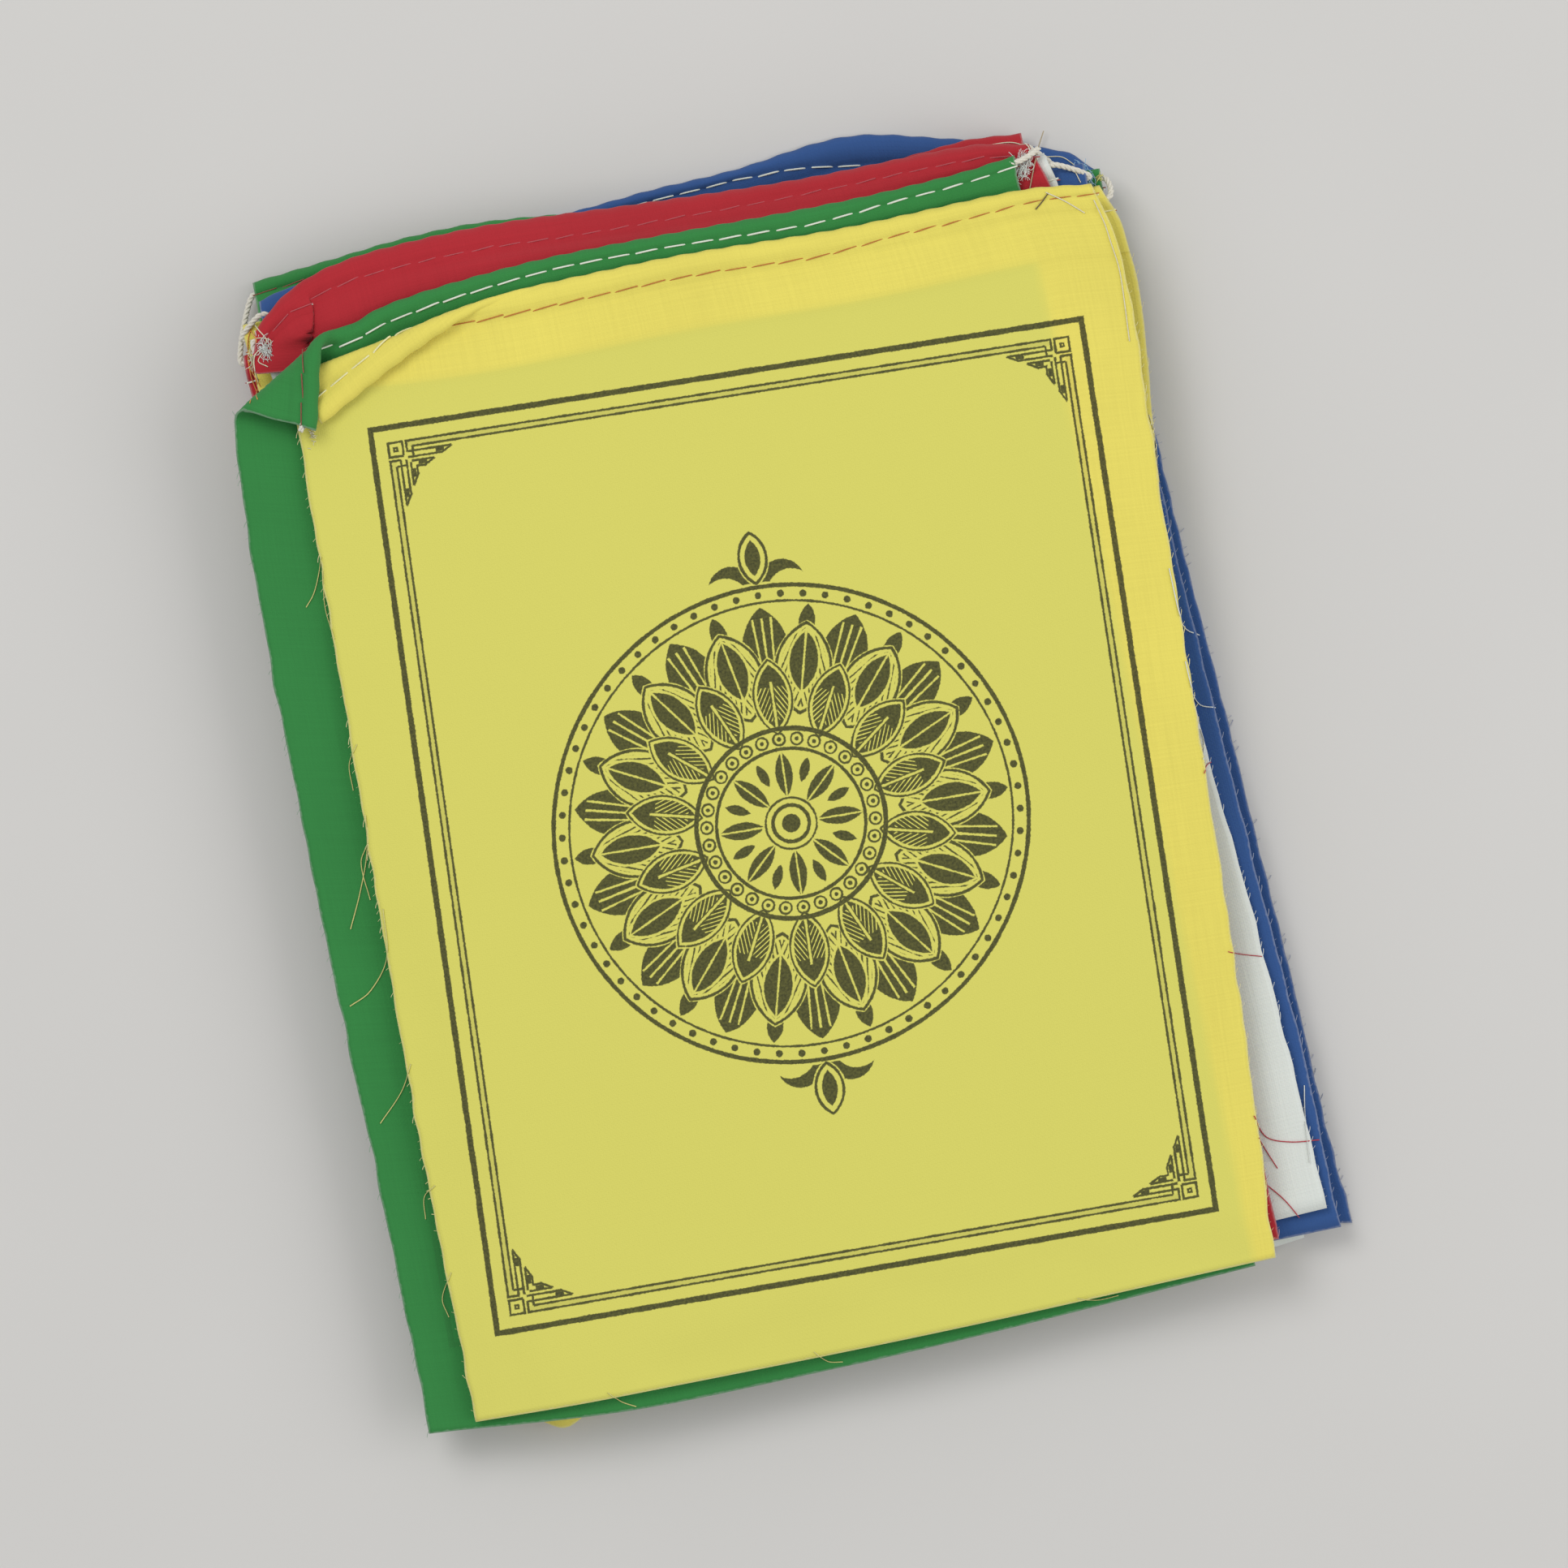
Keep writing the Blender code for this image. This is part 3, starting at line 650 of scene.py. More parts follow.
def net_faces(rows, columns, start, flip):
    """The quads of a net of points, numbered from start."""
    corner = start + (np.arange(rows - 1)[:, None] * columns + np.arange(columns - 1)[None, :])
    quads = np.stack([corner, corner + 1, corner + 1 + columns, corner + columns], axis=2).reshape(-1, 4)
    return quads[:, ::-1] if flip else quads


def rim_faces(rows, columns, flip):
    """The quads that join the rims of two nets of points, the second numbered after the first."""
    index = np.arange(rows * columns).reshape(rows, columns)
    loop = np.concatenate([index[0, :-1], index[:-1, -1], index[-1, :0:-1], index[:0:-1, 0]])
    follow = np.roll(loop, -1)
    count = rows * columns
    quads = np.stack([loop, loop + count, follow + count, follow], axis=1)
    return quads[:, ::-1] if flip else quads


print("cloth thickness in mm:", CLOTH_THICK)

# %% [markdown]
# ## The cloth of each flag
# The mesh carries what its materials need: a map called cloth with places on the flat cloth in
# millimetres, a map called print with places from the middle of the print, and a number for how
# much painted green the top flag gets: a painted show-through of the green flag below. The two top
# flags get a finer net, because they are seen whole, and the red one gets more columns at its left,
# where it is pleated.

# %% Make one flag's cloth
def painted_show_through_share(flag, places, depth, past_top):
    """How much painted green the top flag gets, a painted show-through of the green below: only where one
    layer lies over it.
    """
    share = np.zeros(places.shape[:2])
    if flag["number"] == 1:
        top, bottom = flags[1]["corners"][1:3]
        green_edge = top[0] + (top[1] - places[..., 1]) * (bottom[0] - top[0]) / (top[1] - bottom[1])
        over_green = np.clip((green_edge - places[..., 0]) / 2.0 + 0.5, 0, 1)
        single = np.clip((depth[:, None] - HEM_DEPTH) / 1.2 + 0.5, 0, 1) * (1 - past_top[:, None])
        share = over_green * single
    return share


def make_cloth(flag, across, step):
    """One flag as a closed mesh in the frame, with the maps and numbers that its materials read."""
    section = cross_section(step)
    depth, out, past_top = section.T
    columns = len(across)
    points, turned = lay(flag, across, depth, out)
    front, back = sides_of(points, flag["facing"])
    rows = len(section)
    flip = flag["facing"] < 0
    quads = np.concatenate([
        net_faces(rows, columns, 0, flip),
        net_faces(rows, columns, rows * columns, not flip),
        rim_faces(rows, columns, flip),
    ])
    mesh = bpy.data.meshes.new(f"cloth_{flag['number']:02d}_{flag['colour']}")
    vertices = in_frame(np.concatenate([front.reshape(-1, 3), back.reshape(-1, 3)]))
    mesh.from_pydata(vertices.tolist(), [], quads.tolist())
    mesh.shade_smooth()

    deep = wander(flag, across, depth)
    places = net_places(flag, across, deep)
    on_cloth = np.stack(np.broadcast_arrays(
        across[None, :] * FLAG_WIDTH, np.where(past_top[:, None] > 0, deep, -deep)), axis=2)
    printed = print_places(flag, places, past_top)
    corner_vertex = np.zeros(len(mesh.loops), np.int32)
    mesh.loops.foreach_get("vertex_index", corner_vertex)
    for name, values in (("cloth", on_cloth), ("print", printed)):
        both = np.concatenate([values.reshape(-1, 2)] * 2)
        layer = mesh.uv_layers.new(name=name)
        layer.data.foreach_set("uv", both[corner_vertex].astype(np.float32).ravel())
    shows = painted_show_through_share(flag, places, depth, past_top)
    # The share of painted green show-through, stored for the material.
    attribute = mesh.attributes.new("painted_green_show_through", "FLOAT", "POINT")
    attribute.data.foreach_set("value", np.concatenate([shows.ravel()] * 2).astype(np.float32))

    sides = np.zeros(len(quads), np.int32)
    sides[(rows - 1) * (columns - 1):] = 1
    mesh.materials.append(None)
    mesh.materials.append(None)
    mesh.polygons.foreach_set("material_index", sides)
    cloth = bpy.data.objects.new(mesh.name, mesh)
    bpy.context.scene.collection.objects.link(cloth)
    return cloth


FINE_FLAGS = 2
FINE_STEP = 1.25
PLAIN_STEP = 3.0
EVEN_COLUMNS = np.linspace(0, 1, 148)
PLEAT_COLUMNS = np.concatenate([np.linspace(0, 0.13, 80), np.linspace(0.13, 1, 120)[1:]])
for flag in flags:
    columns = PLEAT_COLUMNS if flag["pleat"] else EVEN_COLUMNS
    flag["cloth"] = make_cloth(flag, columns, FINE_STEP if flag["number"] <= FINE_FLAGS else PLAIN_STEP)
print("faces of each cloth:", [len(flag["cloth"].data.polygons) for flag in flags])

# %% [markdown]
# ## Sums on the cloth, written as sums
# A pattern in a material is arithmetic on places: distances, the smaller of two, inside or outside.
# Wiring each step by hand hides what it means. This small class wraps a node's output, so that
# patterns below read as ordinary sums, and each sum becomes one Math node.

# %% A number that varies over the cloth
class Field:
    """A number at every point of a surface. As a shape, it is negative inside and positive outside."""

    def __init__(self, tree, socket):
        self.tree = tree
        self.socket = socket

    def do(self, operation, *others):
        """One Math node with this number first."""
        node = self.tree.nodes.new("ShaderNodeMath")
        node.operation = operation
        for place, value in enumerate((self, *others)):
            if isinstance(value, Field):
                self.tree.links.new(value.socket, node.inputs[place])
            else:
                node.inputs[place].default_value = value
        return Field(self.tree, node.outputs[0])

    def __add__(self, other):
        return self.do("ADD", other)

    def __sub__(self, other):
        return self.do("SUBTRACT", other)

    def __mul__(self, other):
        return self.do("MULTIPLY", other)

    def __neg__(self):
        return self.do("MULTIPLY", -1.0)

    def __abs__(self):
        return self.do("ABSOLUTE")

    def both(self, other):
        """Inside this shape and the other one, where a shape is negative inside."""
        return self.do("MAXIMUM", other)

    def either(self, other):
        """Inside this shape or the other one."""
        return self.do("MINIMUM", other)

    def line(self, width):
        """The outline of a shape, drawn this wide."""
        return abs(self) - width / 2

    def length(self, other):
        """How far a place is from the middle, from its two distances."""
        return (self * self + other * other).do("SQRT")

    def filled(self, softness):
        """1 inside the shape and 0 outside it, with a soft step between."""
        return (self * (-1.0 / softness) + 0.5).do("MINIMUM", 1.0).do("MAXIMUM", 0.0)


def places_on(tree, map_name):
    """The two places of a map, as Fields."""
    layer = tree.nodes.new("ShaderNodeUVMap")
    layer.uv_map = map_name
    split = tree.nodes.new("ShaderNodeSeparateXYZ")
    tree.links.new(layer.outputs["UV"], split.inputs[0])
    return Field(tree, split.outputs["X"]), Field(tree, split.outputs["Y"])


def number_on(tree, name):
    """A number that the cloth carries."""
    node = tree.nodes.new("ShaderNodeAttribute")
    node.attribute_name = name
    return Field(tree, node.outputs["Fac"])


def blotches(tree, map_name, size_x, size_y, detail=2.0):
    """Soft random patches between 0 and 1, this many millimetres long each way."""
    layer = tree.nodes.new("ShaderNodeUVMap")
    layer.uv_map = map_name
    scale = tree.nodes.new("ShaderNodeMapping")
    scale.inputs["Scale"].default_value = (1 / size_x, 1 / size_y, 1.0)
    texture = tree.nodes.new("ShaderNodeTexNoise")
    texture.inputs["Scale"].default_value = 1.0
    texture.inputs["Detail"].default_value = detail
    tree.links.new(layer.outputs["UV"], scale.inputs["Vector"])
    tree.links.new(scale.outputs["Vector"], texture.inputs["Vector"])
    return Field(tree, texture.outputs["Fac"])


print("sums ready")

# %% [markdown]
# ## The print: frame and corner ornament
# Each flag is block-printed in black: one heavy line round the panel, two fine ones inside it, and
# in each corner a small fret of interlaced bars with pointed ends, a traditional ornament. The
# frame is the same in all four corners and across each corner's diagonal, so it is drawn once, in
# distances from the nearest corner: the longer one first and the shorter one second.

# %% Draw the frame as distances
OUTER_LINE = 1.2
FINE_LINE = 0.5
FINE_INSET = 3.4
FINE_GAP = 1.2


def bar(far, near, far_from, far_to, near_from, near_to):
    """A straight bar, in distances from the corner."""
    along = abs(far - (far_from + far_to) / 2) - (far_to - far_from) / 2
    beside = abs(near - (near_from + near_to) / 2) - (near_to - near_from) / 2
    return along.both(beside)


def slanted_end(far, near, start, end):
    """The slanting edge of a pointed bar, from one point to another, with a little ink inside it."""
    run, drop = end[0] - start[0], start[1] - end[1]
    size = math.hypot(run, drop)
    off_line = (far - start[0]) * (drop / size) + (near - start[1]) * (run / size)
    return off_line.line(FINE_LINE).both(bar(far, near, start[0] - 0.2, end[0] + 0.2, end[1], start[1] + 0.3))


def printed_frame(x, y):
    """Two shapes, in millimetres: the frame's ink, and the haze of ink between its fine lines."""
    edge_x = -abs(x) + PRINT_WIDTH / 2
    edge_y = -abs(y) + PRINT_HEIGHT / 2
    heavy = (edge_x.either(edge_y) - 0.2).line(OUTER_LINE)
    far = edge_x.do("MAXIMUM", edge_y) - FINE_INSET
    near = edge_x.either(edge_y) - FINE_INSET
    thin = FINE_LINE / 2
    ink = heavy
    # The two fine lines, which stop short of the corner's square.
    ink = ink.either(near.line(FINE_LINE).both(-far + 3.7))
    ink = ink.either((near - FINE_GAP).line(FINE_LINE).both(-far + 4.9))
    # The square spiral in the corner.
    ink = ink.either(bar(far, near, -thin, 2.9, -thin, thin))
    ink = ink.either(bar(far, near, 2.9 - thin, 2.9 + thin, -thin, 2.9))
    ink = ink.either(bar(far, near, 0.9, 2.0, 0.9, 2.0).both(-bar(far, near, 1.35, 1.55, 1.35, 1.55)))
    ink = ink.either(bar(far, near, 3.7 - thin, 3.7 + thin, -thin, 2.3))
    ink = ink.either(bar(far, near, 4.9 - thin, 4.9 + thin, FINE_GAP, 3.3))
    # Two pointed bars beside the fine lines, one longer than the other.
    for base, length, start in ((2.15, 12.9, 3.7), (4.15, 9.1, 4.4)):
        top = base + 1.15
        ink = ink.either(bar(far, near, start, length, base - thin, base + thin))
        ink = ink.either(bar(far, near, start, length - 2.1, top - thin, top + thin))
        ink = ink.either(slanted_end(far, near, (length - 2.1, top), (length, base)))
        ink = ink.either(bar(far, near, length - 3.4, length - 1.6, base, top - 0.2))
    veil = bar(far, near, 3.7, 400.0, 0.0, FINE_GAP)
    return ink, veil


print("frame:", PRINT_WIDTH, "x", PRINT_HEIGHT, "mm")

# %% [markdown]
# ## The print: a lotus medallion
# The middle of the panel holds a generic round ornament in the same black: a wheel in a ring of
# beads, two rings of lotus petals, and a bud above and below. Round patterns are drawn once and
# repeated by folding the angle: every petal is the one nearest to straight up.

# %% Draw the medallion as distances
def petal(x, y, middle, half_length, half_width):
    """A pointed oval on the upward axis, where x is already folded to one side."""
    radius = (half_length**2 + half_width**2) / (2 * half_width)
    return (x + (radius - half_width)).length(y - middle) - radius


def folded(radius, angle, count, offset=0.0):
    """Places folded round the middle so that one of count petals stands straight up."""
    half = math.pi / count
    turned = (angle + (offset * half + 20 * math.pi)).do("PINGPONG", half)
    return radius * turned.do("SINE"), radius * turned.do("COSINE")


def printed_medallion(x, y):
    """The shape of the medallion's ink: negative inside the ink, in millimetres."""
    radius = x.length(y)
    angle = x.do("ARCTAN2", y)
    # The hub, eight spokes and the rim of the wheel, with beads in the rim.
    ink = (radius - 1.9).either((radius - 3.7).line(0.8)).either((radius - 5.2).line(0.45))
    sx, sy = folded(radius, angle, 8)
    ink = ink.either(petal(sx, sy, 10.1, 4.6, 1.75).both(-sx.line(0.35)))
    gap_x, gap_y = folded(radius, angle, 8, 1.0)
    ink = ink.either(petal(gap_x, gap_y, 11.2, 2.6, 1.0))
    ink = ink.either((radius - 15.2).line(0.7)).either((radius - 19.3).line(1.0))
    bead_x, bead_y = folded(radius, angle, 30)
    bead = bead_x.length(bead_y - 17.2)
    ink = ink.either((bead - 1.2).line(0.45)).either(bead - 0.45)
    # The first ring of petals is dark, with light veins and a light edge.
    px, py = folded(radius, angle, 14)
    inner = petal(px, py, 25.9, 7.6, 3.9)
    vein = px.line(0.5).both(py - 29.0)
    ribs = ((px * 1.7 + py).do("PINGPONG", 0.75) - 0.2).both(abs(py - 24.5) - 3.4).both(-px + 0.55)
    ink = ink.either((inner + 0.75).both(-vein).both(-ribs)).either(inner.line(0.45))
    # The second ring stands behind it: a dark heart in a fine outline, hatched between.
    qx, qy = folded(radius, angle, 14, 1.0)
    outer = petal(qx, qy, 31.6, 9.2, 5.6)
    free = -(inner - 0.45)
    heart = petal(qx, qy, 33.0, 6.2, 2.9).both(-qx.line(0.4))
    hatch = ((qx + qy * 0.35).do("PINGPONG", 0.55) - 0.17).both(outer + 0.9).both(-(heart - 0.5))
    ink = ink.either(outer.line(0.6).both(free)).either(heart.both(free)).either(hatch.both(free))
    # The third ring is solid dark, each petal with three light veins.
    third = petal(px, py, 35.8, 8.4, 4.7)
    behind = -(outer.either(inner) - 0.5)
    veins = px.line(0.45).either((px - 1.5 - (py - 35.0) * 0.06).line(0.4)).both(py - 42.0)
    ink = ink.either(third.both(behind).both(-veins))
    # Leaf tips fill the last gaps, under a rim of two lines with beads.
    tip = petal(qx, qy, 41.0, 3.6, 1.7).both(-(outer.either(third) - 0.5))
    ink = ink.either(tip)
    ink = ink.either((radius - 45.2).line(0.5)).either((radius - 48.4).line(0.9))
    rim_x, rim_y = folded(radius, angle, 64)
    ink = ink.either(rim_x.length(rim_y - 46.7) - 0.72)
    # A bud with two curling leaves above and below.
    up = abs(y)
    side = abs(x)
    bud = petal(side, up, 54.4, 5.2, 2.8)
    leaf = (side - 5.2).length(up - 48.6) - 4.8
    leaf = leaf.both(-((side - 6.8).length(up - 46.2) - 5.0)).both(-(bud - 0.6)).both(-(radius - 49.3))
    ink = ink.either(bud.line(0.6)).either((bud + 1.2)).either(leaf)
    return ink


print("medallion drawn to 59 mm above and below the middle")

# %% [markdown]
# ## Printed cotton
# What the eye reads as cotton is mostly in its surface: a plain weave with threads about 0.4
# millimetres apart, thicker threads here and there that run right across, a dye that took a little
# unevenly, and a matt sheen. The ink sinks in: its edges follow the weave, and it lets some colour
# through. On the back only a faint ghost of the print shows.

# %% Make the cotton materials
THREAD_PITCH = 0.42
INK = (0.022, 0.025, 0.014, 1)


def mix_colours(tree, share, first, second):
    """A colour between two others. Each is a colour or a socket."""
    node = tree.nodes.new("ShaderNodeMix")
    node.data_type = "RGBA"
    for socket, value in ((node.inputs["A"], first), (node.inputs["B"], second)):
        if isinstance(value, tuple):
            socket.default_value = value
        else:
            tree.links.new(value, socket)
    tree.links.new(share.socket, node.inputs["Factor"])
    return node.outputs["Result"]


def weave_height(tree):
    """How high a plain weave stands, from -1 to 1: warp over weft and weft over warp in turn."""
    u, v = places_on(tree, "cloth")
    turn = math.pi / THREAD_PITCH
    warp = (u * turn).do("SINE")
    weft = (v * turn).do("SINE")
    over = (u * turn + math.pi / 2).do("SINE") * (v * turn + math.pi / 2).do("SINE")
    return abs(warp) * 0.5 + abs(weft) * 0.5 + over * 0.5


def cotton(name, colour, painted_green_tint, ink_strength, worn=0.32):
    """A cotton of one colour: weave, thick threads, uneven dye, print, paler cut edges, and a painted green
    show-through where a tint is given.
    """
    material = bpy.data.materials.new(name)
    material.use_nodes = True
    tree = material.node_tree
    shader = tree.nodes["Principled BSDF"]
    shader.inputs["Roughness"].default_value = 0.86
    shader.inputs["Specular IOR Level"].default_value = 0.25
    shader.inputs["Sheen Weight"].default_value = 0.12
    shader.inputs["Sheen Roughness"].default_value = 0.5

    dark = tuple(c * 0.88 for c in colour) + (1,)
    light = tuple(min(1.0, c * 1.10) for c in colour) + (1,)
    thick_warp = blotches(tree, "cloth", 0.45, 18.0, 1.0)
    thick_weft = blotches(tree, "cloth", 18.0, 0.45, 1.0)
    dye = blotches(tree, "cloth", 34.0, 40.0, 1.0)
    tone = thick_warp * 0.5 + thick_weft * 0.5 + (dye - 0.5) * 0.6
    dyed = mix_colours(tree, (tone - 0.5) * 0.9 + 0.5, dark, light)
    # Painted show-through: the tint is painted in where the green flag below lights the cloth through one
    # layer.
    shows = number_on(tree, "painted_green_show_through")
    dyed = mix_colours(tree, shows, dyed, (*painted_green_tint, 1)) if painted_green_tint else dyed
    pale = tuple(0.45 * c + 0.55 * 0.8 for c in colour) + (1,)
    u, v = places_on(tree, "cloth")
    from_cut = (-abs(u - FLAG_WIDTH / 2) + FLAG_WIDTH / 2).either(v + FLAG_HEIGHT)
    specks = blotches(tree, "cloth", 1.1, 1.1, 1.0)
    edge = (from_cut - specks * 0.55).filled(0.3) * worn
    dyed = mix_colours(tree, edge, dyed, pale)

    x, y = places_on(tree, "print")
    ink, veil = printed_frame(x, y)
    ink = ink.either(printed_medallion(x, y))
    grain = blotches(tree, "print", 0.5, 0.5, 1.0) - 0.5
    bleed = grain * 0.36 + (blotches(tree, "print", 3.0, 3.0, 1.0) - 0.5) * 0.25
    covered = (ink + bleed).filled(0.16) * (grain * 0.22 + 0.93)
    hazy = (veil + bleed).filled(0.3) * 0.14
    inked = mix_colours(tree, covered.do("MAXIMUM", hazy).do("MINIMUM", 1.0) * ink_strength, dyed, INK)
    tree.links.new(inked, shader.inputs["Base Color"])

    bump = tree.nodes.new("ShaderNodeBump")
    bump.inputs["Distance"].default_value = 0.05 * MM
    bump.inputs["Strength"].default_value = 0.6
    height = weave_height(tree) * 0.5 + thick_warp * 0.9 + thick_weft * 0.9
    tree.links.new(height.socket, bump.inputs["Height"])
    tree.links.new(bump.outputs["Normal"], shader.inputs["Normal"])
    return material


CLOTH_COLOURS = {
    "yellow": (0.80, 0.70, 0.13),
    "green": (0.033, 0.232, 0.053),
    "red": (0.44, 0.020, 0.030),
    "white": (0.72, 0.76, 0.72),
    "blue": (0.032, 0.092, 0.275),
}
# A greener yellow that is painted in as the green show-through from the flag below. It is painted light, not
# a dye.
PAINTED_SHOW_THROUGH_YELLOW = (0.69, 0.66, 0.135)
cottons = {}
for colour, value in CLOTH_COLOURS.items():
    tint = PAINTED_SHOW_THROUGH_YELLOW if colour == "yellow" else None
    cottons[colour] = (
        cotton(f"{colour} cotton, printed side", value, tint, 0.97),
        cotton(f"{colour} cotton, plain side", value, None, 0.12),
    )
for flag in flags:
    for place, material in enumerate(cottons[flag["colour"]]):
        flag["cloth"].data.materials[place] = material
print("cottons:", len(bpy.data.materials) - 1, "nodes in one:", len(cottons["yellow"][0].node_tree.nodes))

# %% [markdown]
# ## Spun thread, and the parts that node trees share
# Sewing thread, string and loose fibres are all spun cotton, so one function makes their material.
# They also all repeat or follow a line, so Geometry Nodes lay them. A tree is built node by node,
# and helpers keep that short: one adds a node and wires it, and the others add the small groups of
# nodes that come back in several trees.

# %% Spun thread, and helpers for node trees
def thread_material(name, colour, roughness=0.7):
    """Spun thread: a matt colour with darker and lighter fibres."""
    material = bpy.data.materials.new(name)
    material.use_nodes = True
    tree = material.node_tree
    shader = tree.nodes["Principled BSDF"]
    shader.inputs["Roughness"].default_value = roughness
    shader.inputs["Sheen Weight"].default_value = 0.2
    place = tree.nodes.new("ShaderNodeTexCoord")
    fibres = tree.nodes.new("ShaderNodeTexNoise")
    fibres.inputs["Scale"].default_value = 2600.0
    tree.links.new(place.outputs["Object"], fibres.inputs["Vector"])
    share = Field(tree, fibres.outputs["Fac"])
    dark = tuple(c * 0.75 for c in colour) + (1,)
    light = tuple(min(1.0, c * 1.2) for c in colour) + (1,)
    tree.links.new(mix_colours(tree, share, dark, light), shader.inputs["Base Color"])
    bump = tree.nodes.new("ShaderNodeBump")
    bump.inputs["Distance"].default_value = 0.05 * MM
    tree.links.new(share.socket, bump.inputs["Height"])
    tree.links.new(bump.outputs["Normal"], shader.inputs["Normal"])
    return material


def new_tree(name, inputs):
    """An empty geometry node tree with named inputs, and its two ends."""
    tree = bpy.data.node_groups.new(name, "GeometryNodeTree")
    tree.interface.new_socket("Geometry", in_out="INPUT", socket_type="NodeSocketGeometry")
    for label, kind in inputs:
        tree.interface.new_socket(label, in_out="INPUT", socket_type=f"NodeSocket{kind}")
    tree.interface.new_socket("Geometry", in_out="OUTPUT", socket_type="NodeSocketGeometry")
    return tree, tree.nodes.new("NodeGroupInput"), tree.nodes.new("NodeGroupOutput")


def add(tree, kind, settings=(), **wires):
    """A node with its settings, and its inputs wired to sockets or set to values."""
    node = tree.nodes.new(kind)
    for key, value in dict(settings).items():
        setattr(node, key, value)
    for label, value in wires.items():
        socket = node.inputs[int(label[1:])] if label[0] == "_" else node.inputs[label.replace("_", " ")]
        if isinstance(value, bpy.types.NodeSocket):
            tree.links.new(value, socket)
        else:
            socket.default_value = value
    return node


def sums(tree, operation, *values):
    """One Math node, and the socket with its result."""
    wires = {f"_{place}": value for place, value in enumerate(values)}
    return add(tree, "ShaderNodeMath", {"operation": operation}, **wires).outputs[0]


def tube_round(tree, curve, sides, radius):
    """A closed tube round a curve."""
    profile = add(tree, "GeometryNodeCurvePrimitiveCircle", Resolution=sides, Radius=radius)
    tube = add(tree, "GeometryNodeCurveToMesh",
               Curve=curve, Profile_Curve=profile.outputs["Curve"], Fill_Caps=True)
    return tube.outputs["Mesh"]


def by_chance(tree, least, most, seed, **wires):
    """A random number for every thread, between two others."""
    chance = add(tree, "FunctionNodeRandomValue", {"data_type": "FLOAT"},
                 _2=least, _3=most, Seed=seed, **wires)
    return chance.outputs[1]


def turned_by(tree, rotation, **angles):
    """A rotation turned further, by angles about its own axes."""
    turn = add(tree, "ShaderNodeCombineXYZ", **angles)
    turned = add(tree, "FunctionNodeEulerToRotation", Euler=turn.outputs[0])
    crooked = add(tree, "FunctionNodeRotateRotation", {"rotation_space": "LOCAL"},
                  Rotation=rotation, Rotate_By=turned.outputs["Rotation"])
    return crooked.outputs["Rotation"]


def finish_tree(tree, result, shape, material):
    """The end of every tree: real geometry, shaded smooth, in its material."""
    real = add(tree, "GeometryNodeRealizeInstances", Geometry=shape)
    smooth = add(tree, "GeometryNodeSetShadeSmooth", Geometry=real.outputs["Geometry"])
    dressed = add(tree, "GeometryNodeSetMaterial", Geometry=smooth.outputs["Geometry"], Material=material)
    tree.links.new(dressed.outputs["Geometry"], result.inputs["Geometry"])


print("helpers for node trees ready")

# %% [markdown]
# ## A seam as a rule
# A lockstitch seam is a row of short straight stitches, each a little sunk at its ends. Each could
# be drawn by hand, but a rule gives every seam the same hand: the seam's line is cut into equal
# steps, one stitch is put on each, and a little chance turns and stretches it, as a needle does.

# %% A node tree that sews along a line
def sewing_tree():
    """A row of stitches along the line that the object's mesh draws."""
    tree, given, result = new_tree("lockstitch seam", (
        ("Pitch", "Float"), ("Stitch Length", "Float"), ("Thread Radius", "Float"),
        ("Slant", "Float"), ("Unevenness", "Float"), ("Seed", "Int"), ("Thread", "Material")))
    wire = given.outputs
    line = add(tree, "GeometryNodeMeshToCurve", Mesh=wire["Geometry"])
    steps = add(tree, "GeometryNodeCurveToPoints", {"mode": "LENGTH"},
                Curve=line.outputs["Curve"], Length=wire["Pitch"])
    half = sums(tree, "MULTIPLY", wire["Stitch Length"], 0.5)
    back = sums(tree, "MULTIPLY", half, -1.0)
    sunk = sums(tree, "MULTIPLY", wire["Thread Radius"], -1.4)
    raised = sums(tree, "MULTIPLY", wire["Thread Radius"], 1.2)
    start = add(tree, "ShaderNodeCombineXYZ", X=back, Z=sunk)
    end = add(tree, "ShaderNodeCombineXYZ", X=half, Z=sunk)
    rise = add(tree, "ShaderNodeCombineXYZ", X=sums(tree, "MULTIPLY", back, 0.72), Z=raised)
    fall = add(tree, "ShaderNodeCombineXYZ", X=sums(tree, "MULTIPLY", half, 0.72), Z=raised)
    stitch = add(tree, "GeometryNodeCurvePrimitiveBezierSegment", {"mode": "POSITION"}, Resolution=7,
                 Start=start.outputs[0], Start_Handle=rise.outputs[0],
                 End_Handle=fall.outputs[0], End=end.outputs[0])
    one = tube_round(tree, stitch.outputs["Curve"], 6, wire["Thread Radius"])
    along = add(tree, "FunctionNodeAlignRotationToVector", {"axis": "X"}, Vector=steps.outputs["Tangent"])
    upright = add(tree, "GeometryNodeInputNamedAttribute", {"data_type": "FLOAT_VECTOR"}, Name="off_cloth")
    level = add(tree, "FunctionNodeAlignRotationToVector", {"axis": "Z", "pivot_axis": "X"},
                Rotation=along.outputs["Rotation"], Vector=upright.outputs["Attribute"])
    least = sums(tree, "SUBTRACT", wire["Slant"], wire["Unevenness"])
    most = sums(tree, "ADD", wire["Slant"], wire["Unevenness"])
    crooked = turned_by(tree, level.outputs["Rotation"], Z=by_chance(tree, least, most, wire["Seed"]))
    size = by_chance(tree, 0.9, 1.05, wire["Seed"])
    row = add(tree, "GeometryNodeInstanceOnPoints", Points=steps.outputs["Points"], Instance=one,
              Rotation=crooked, Scale=size)
    finish_tree(tree, result, row.outputs["Instances"], wire["Thread"])
    return tree


sewing = sewing_tree()
print("inputs of the seam:", [item.name for item in sewing.interface.items_tree if item.in_out == "INPUT"])

# %% [markdown]
# ## From a node tree to a plain mesh
# A tree works on an object through a modifier. Its inputs are set by their identifiers before the
# object is looked at for the first time. Then the result is copied out as a plain mesh, and the
# modifier goes, so that what is left is a simple piece like any other.

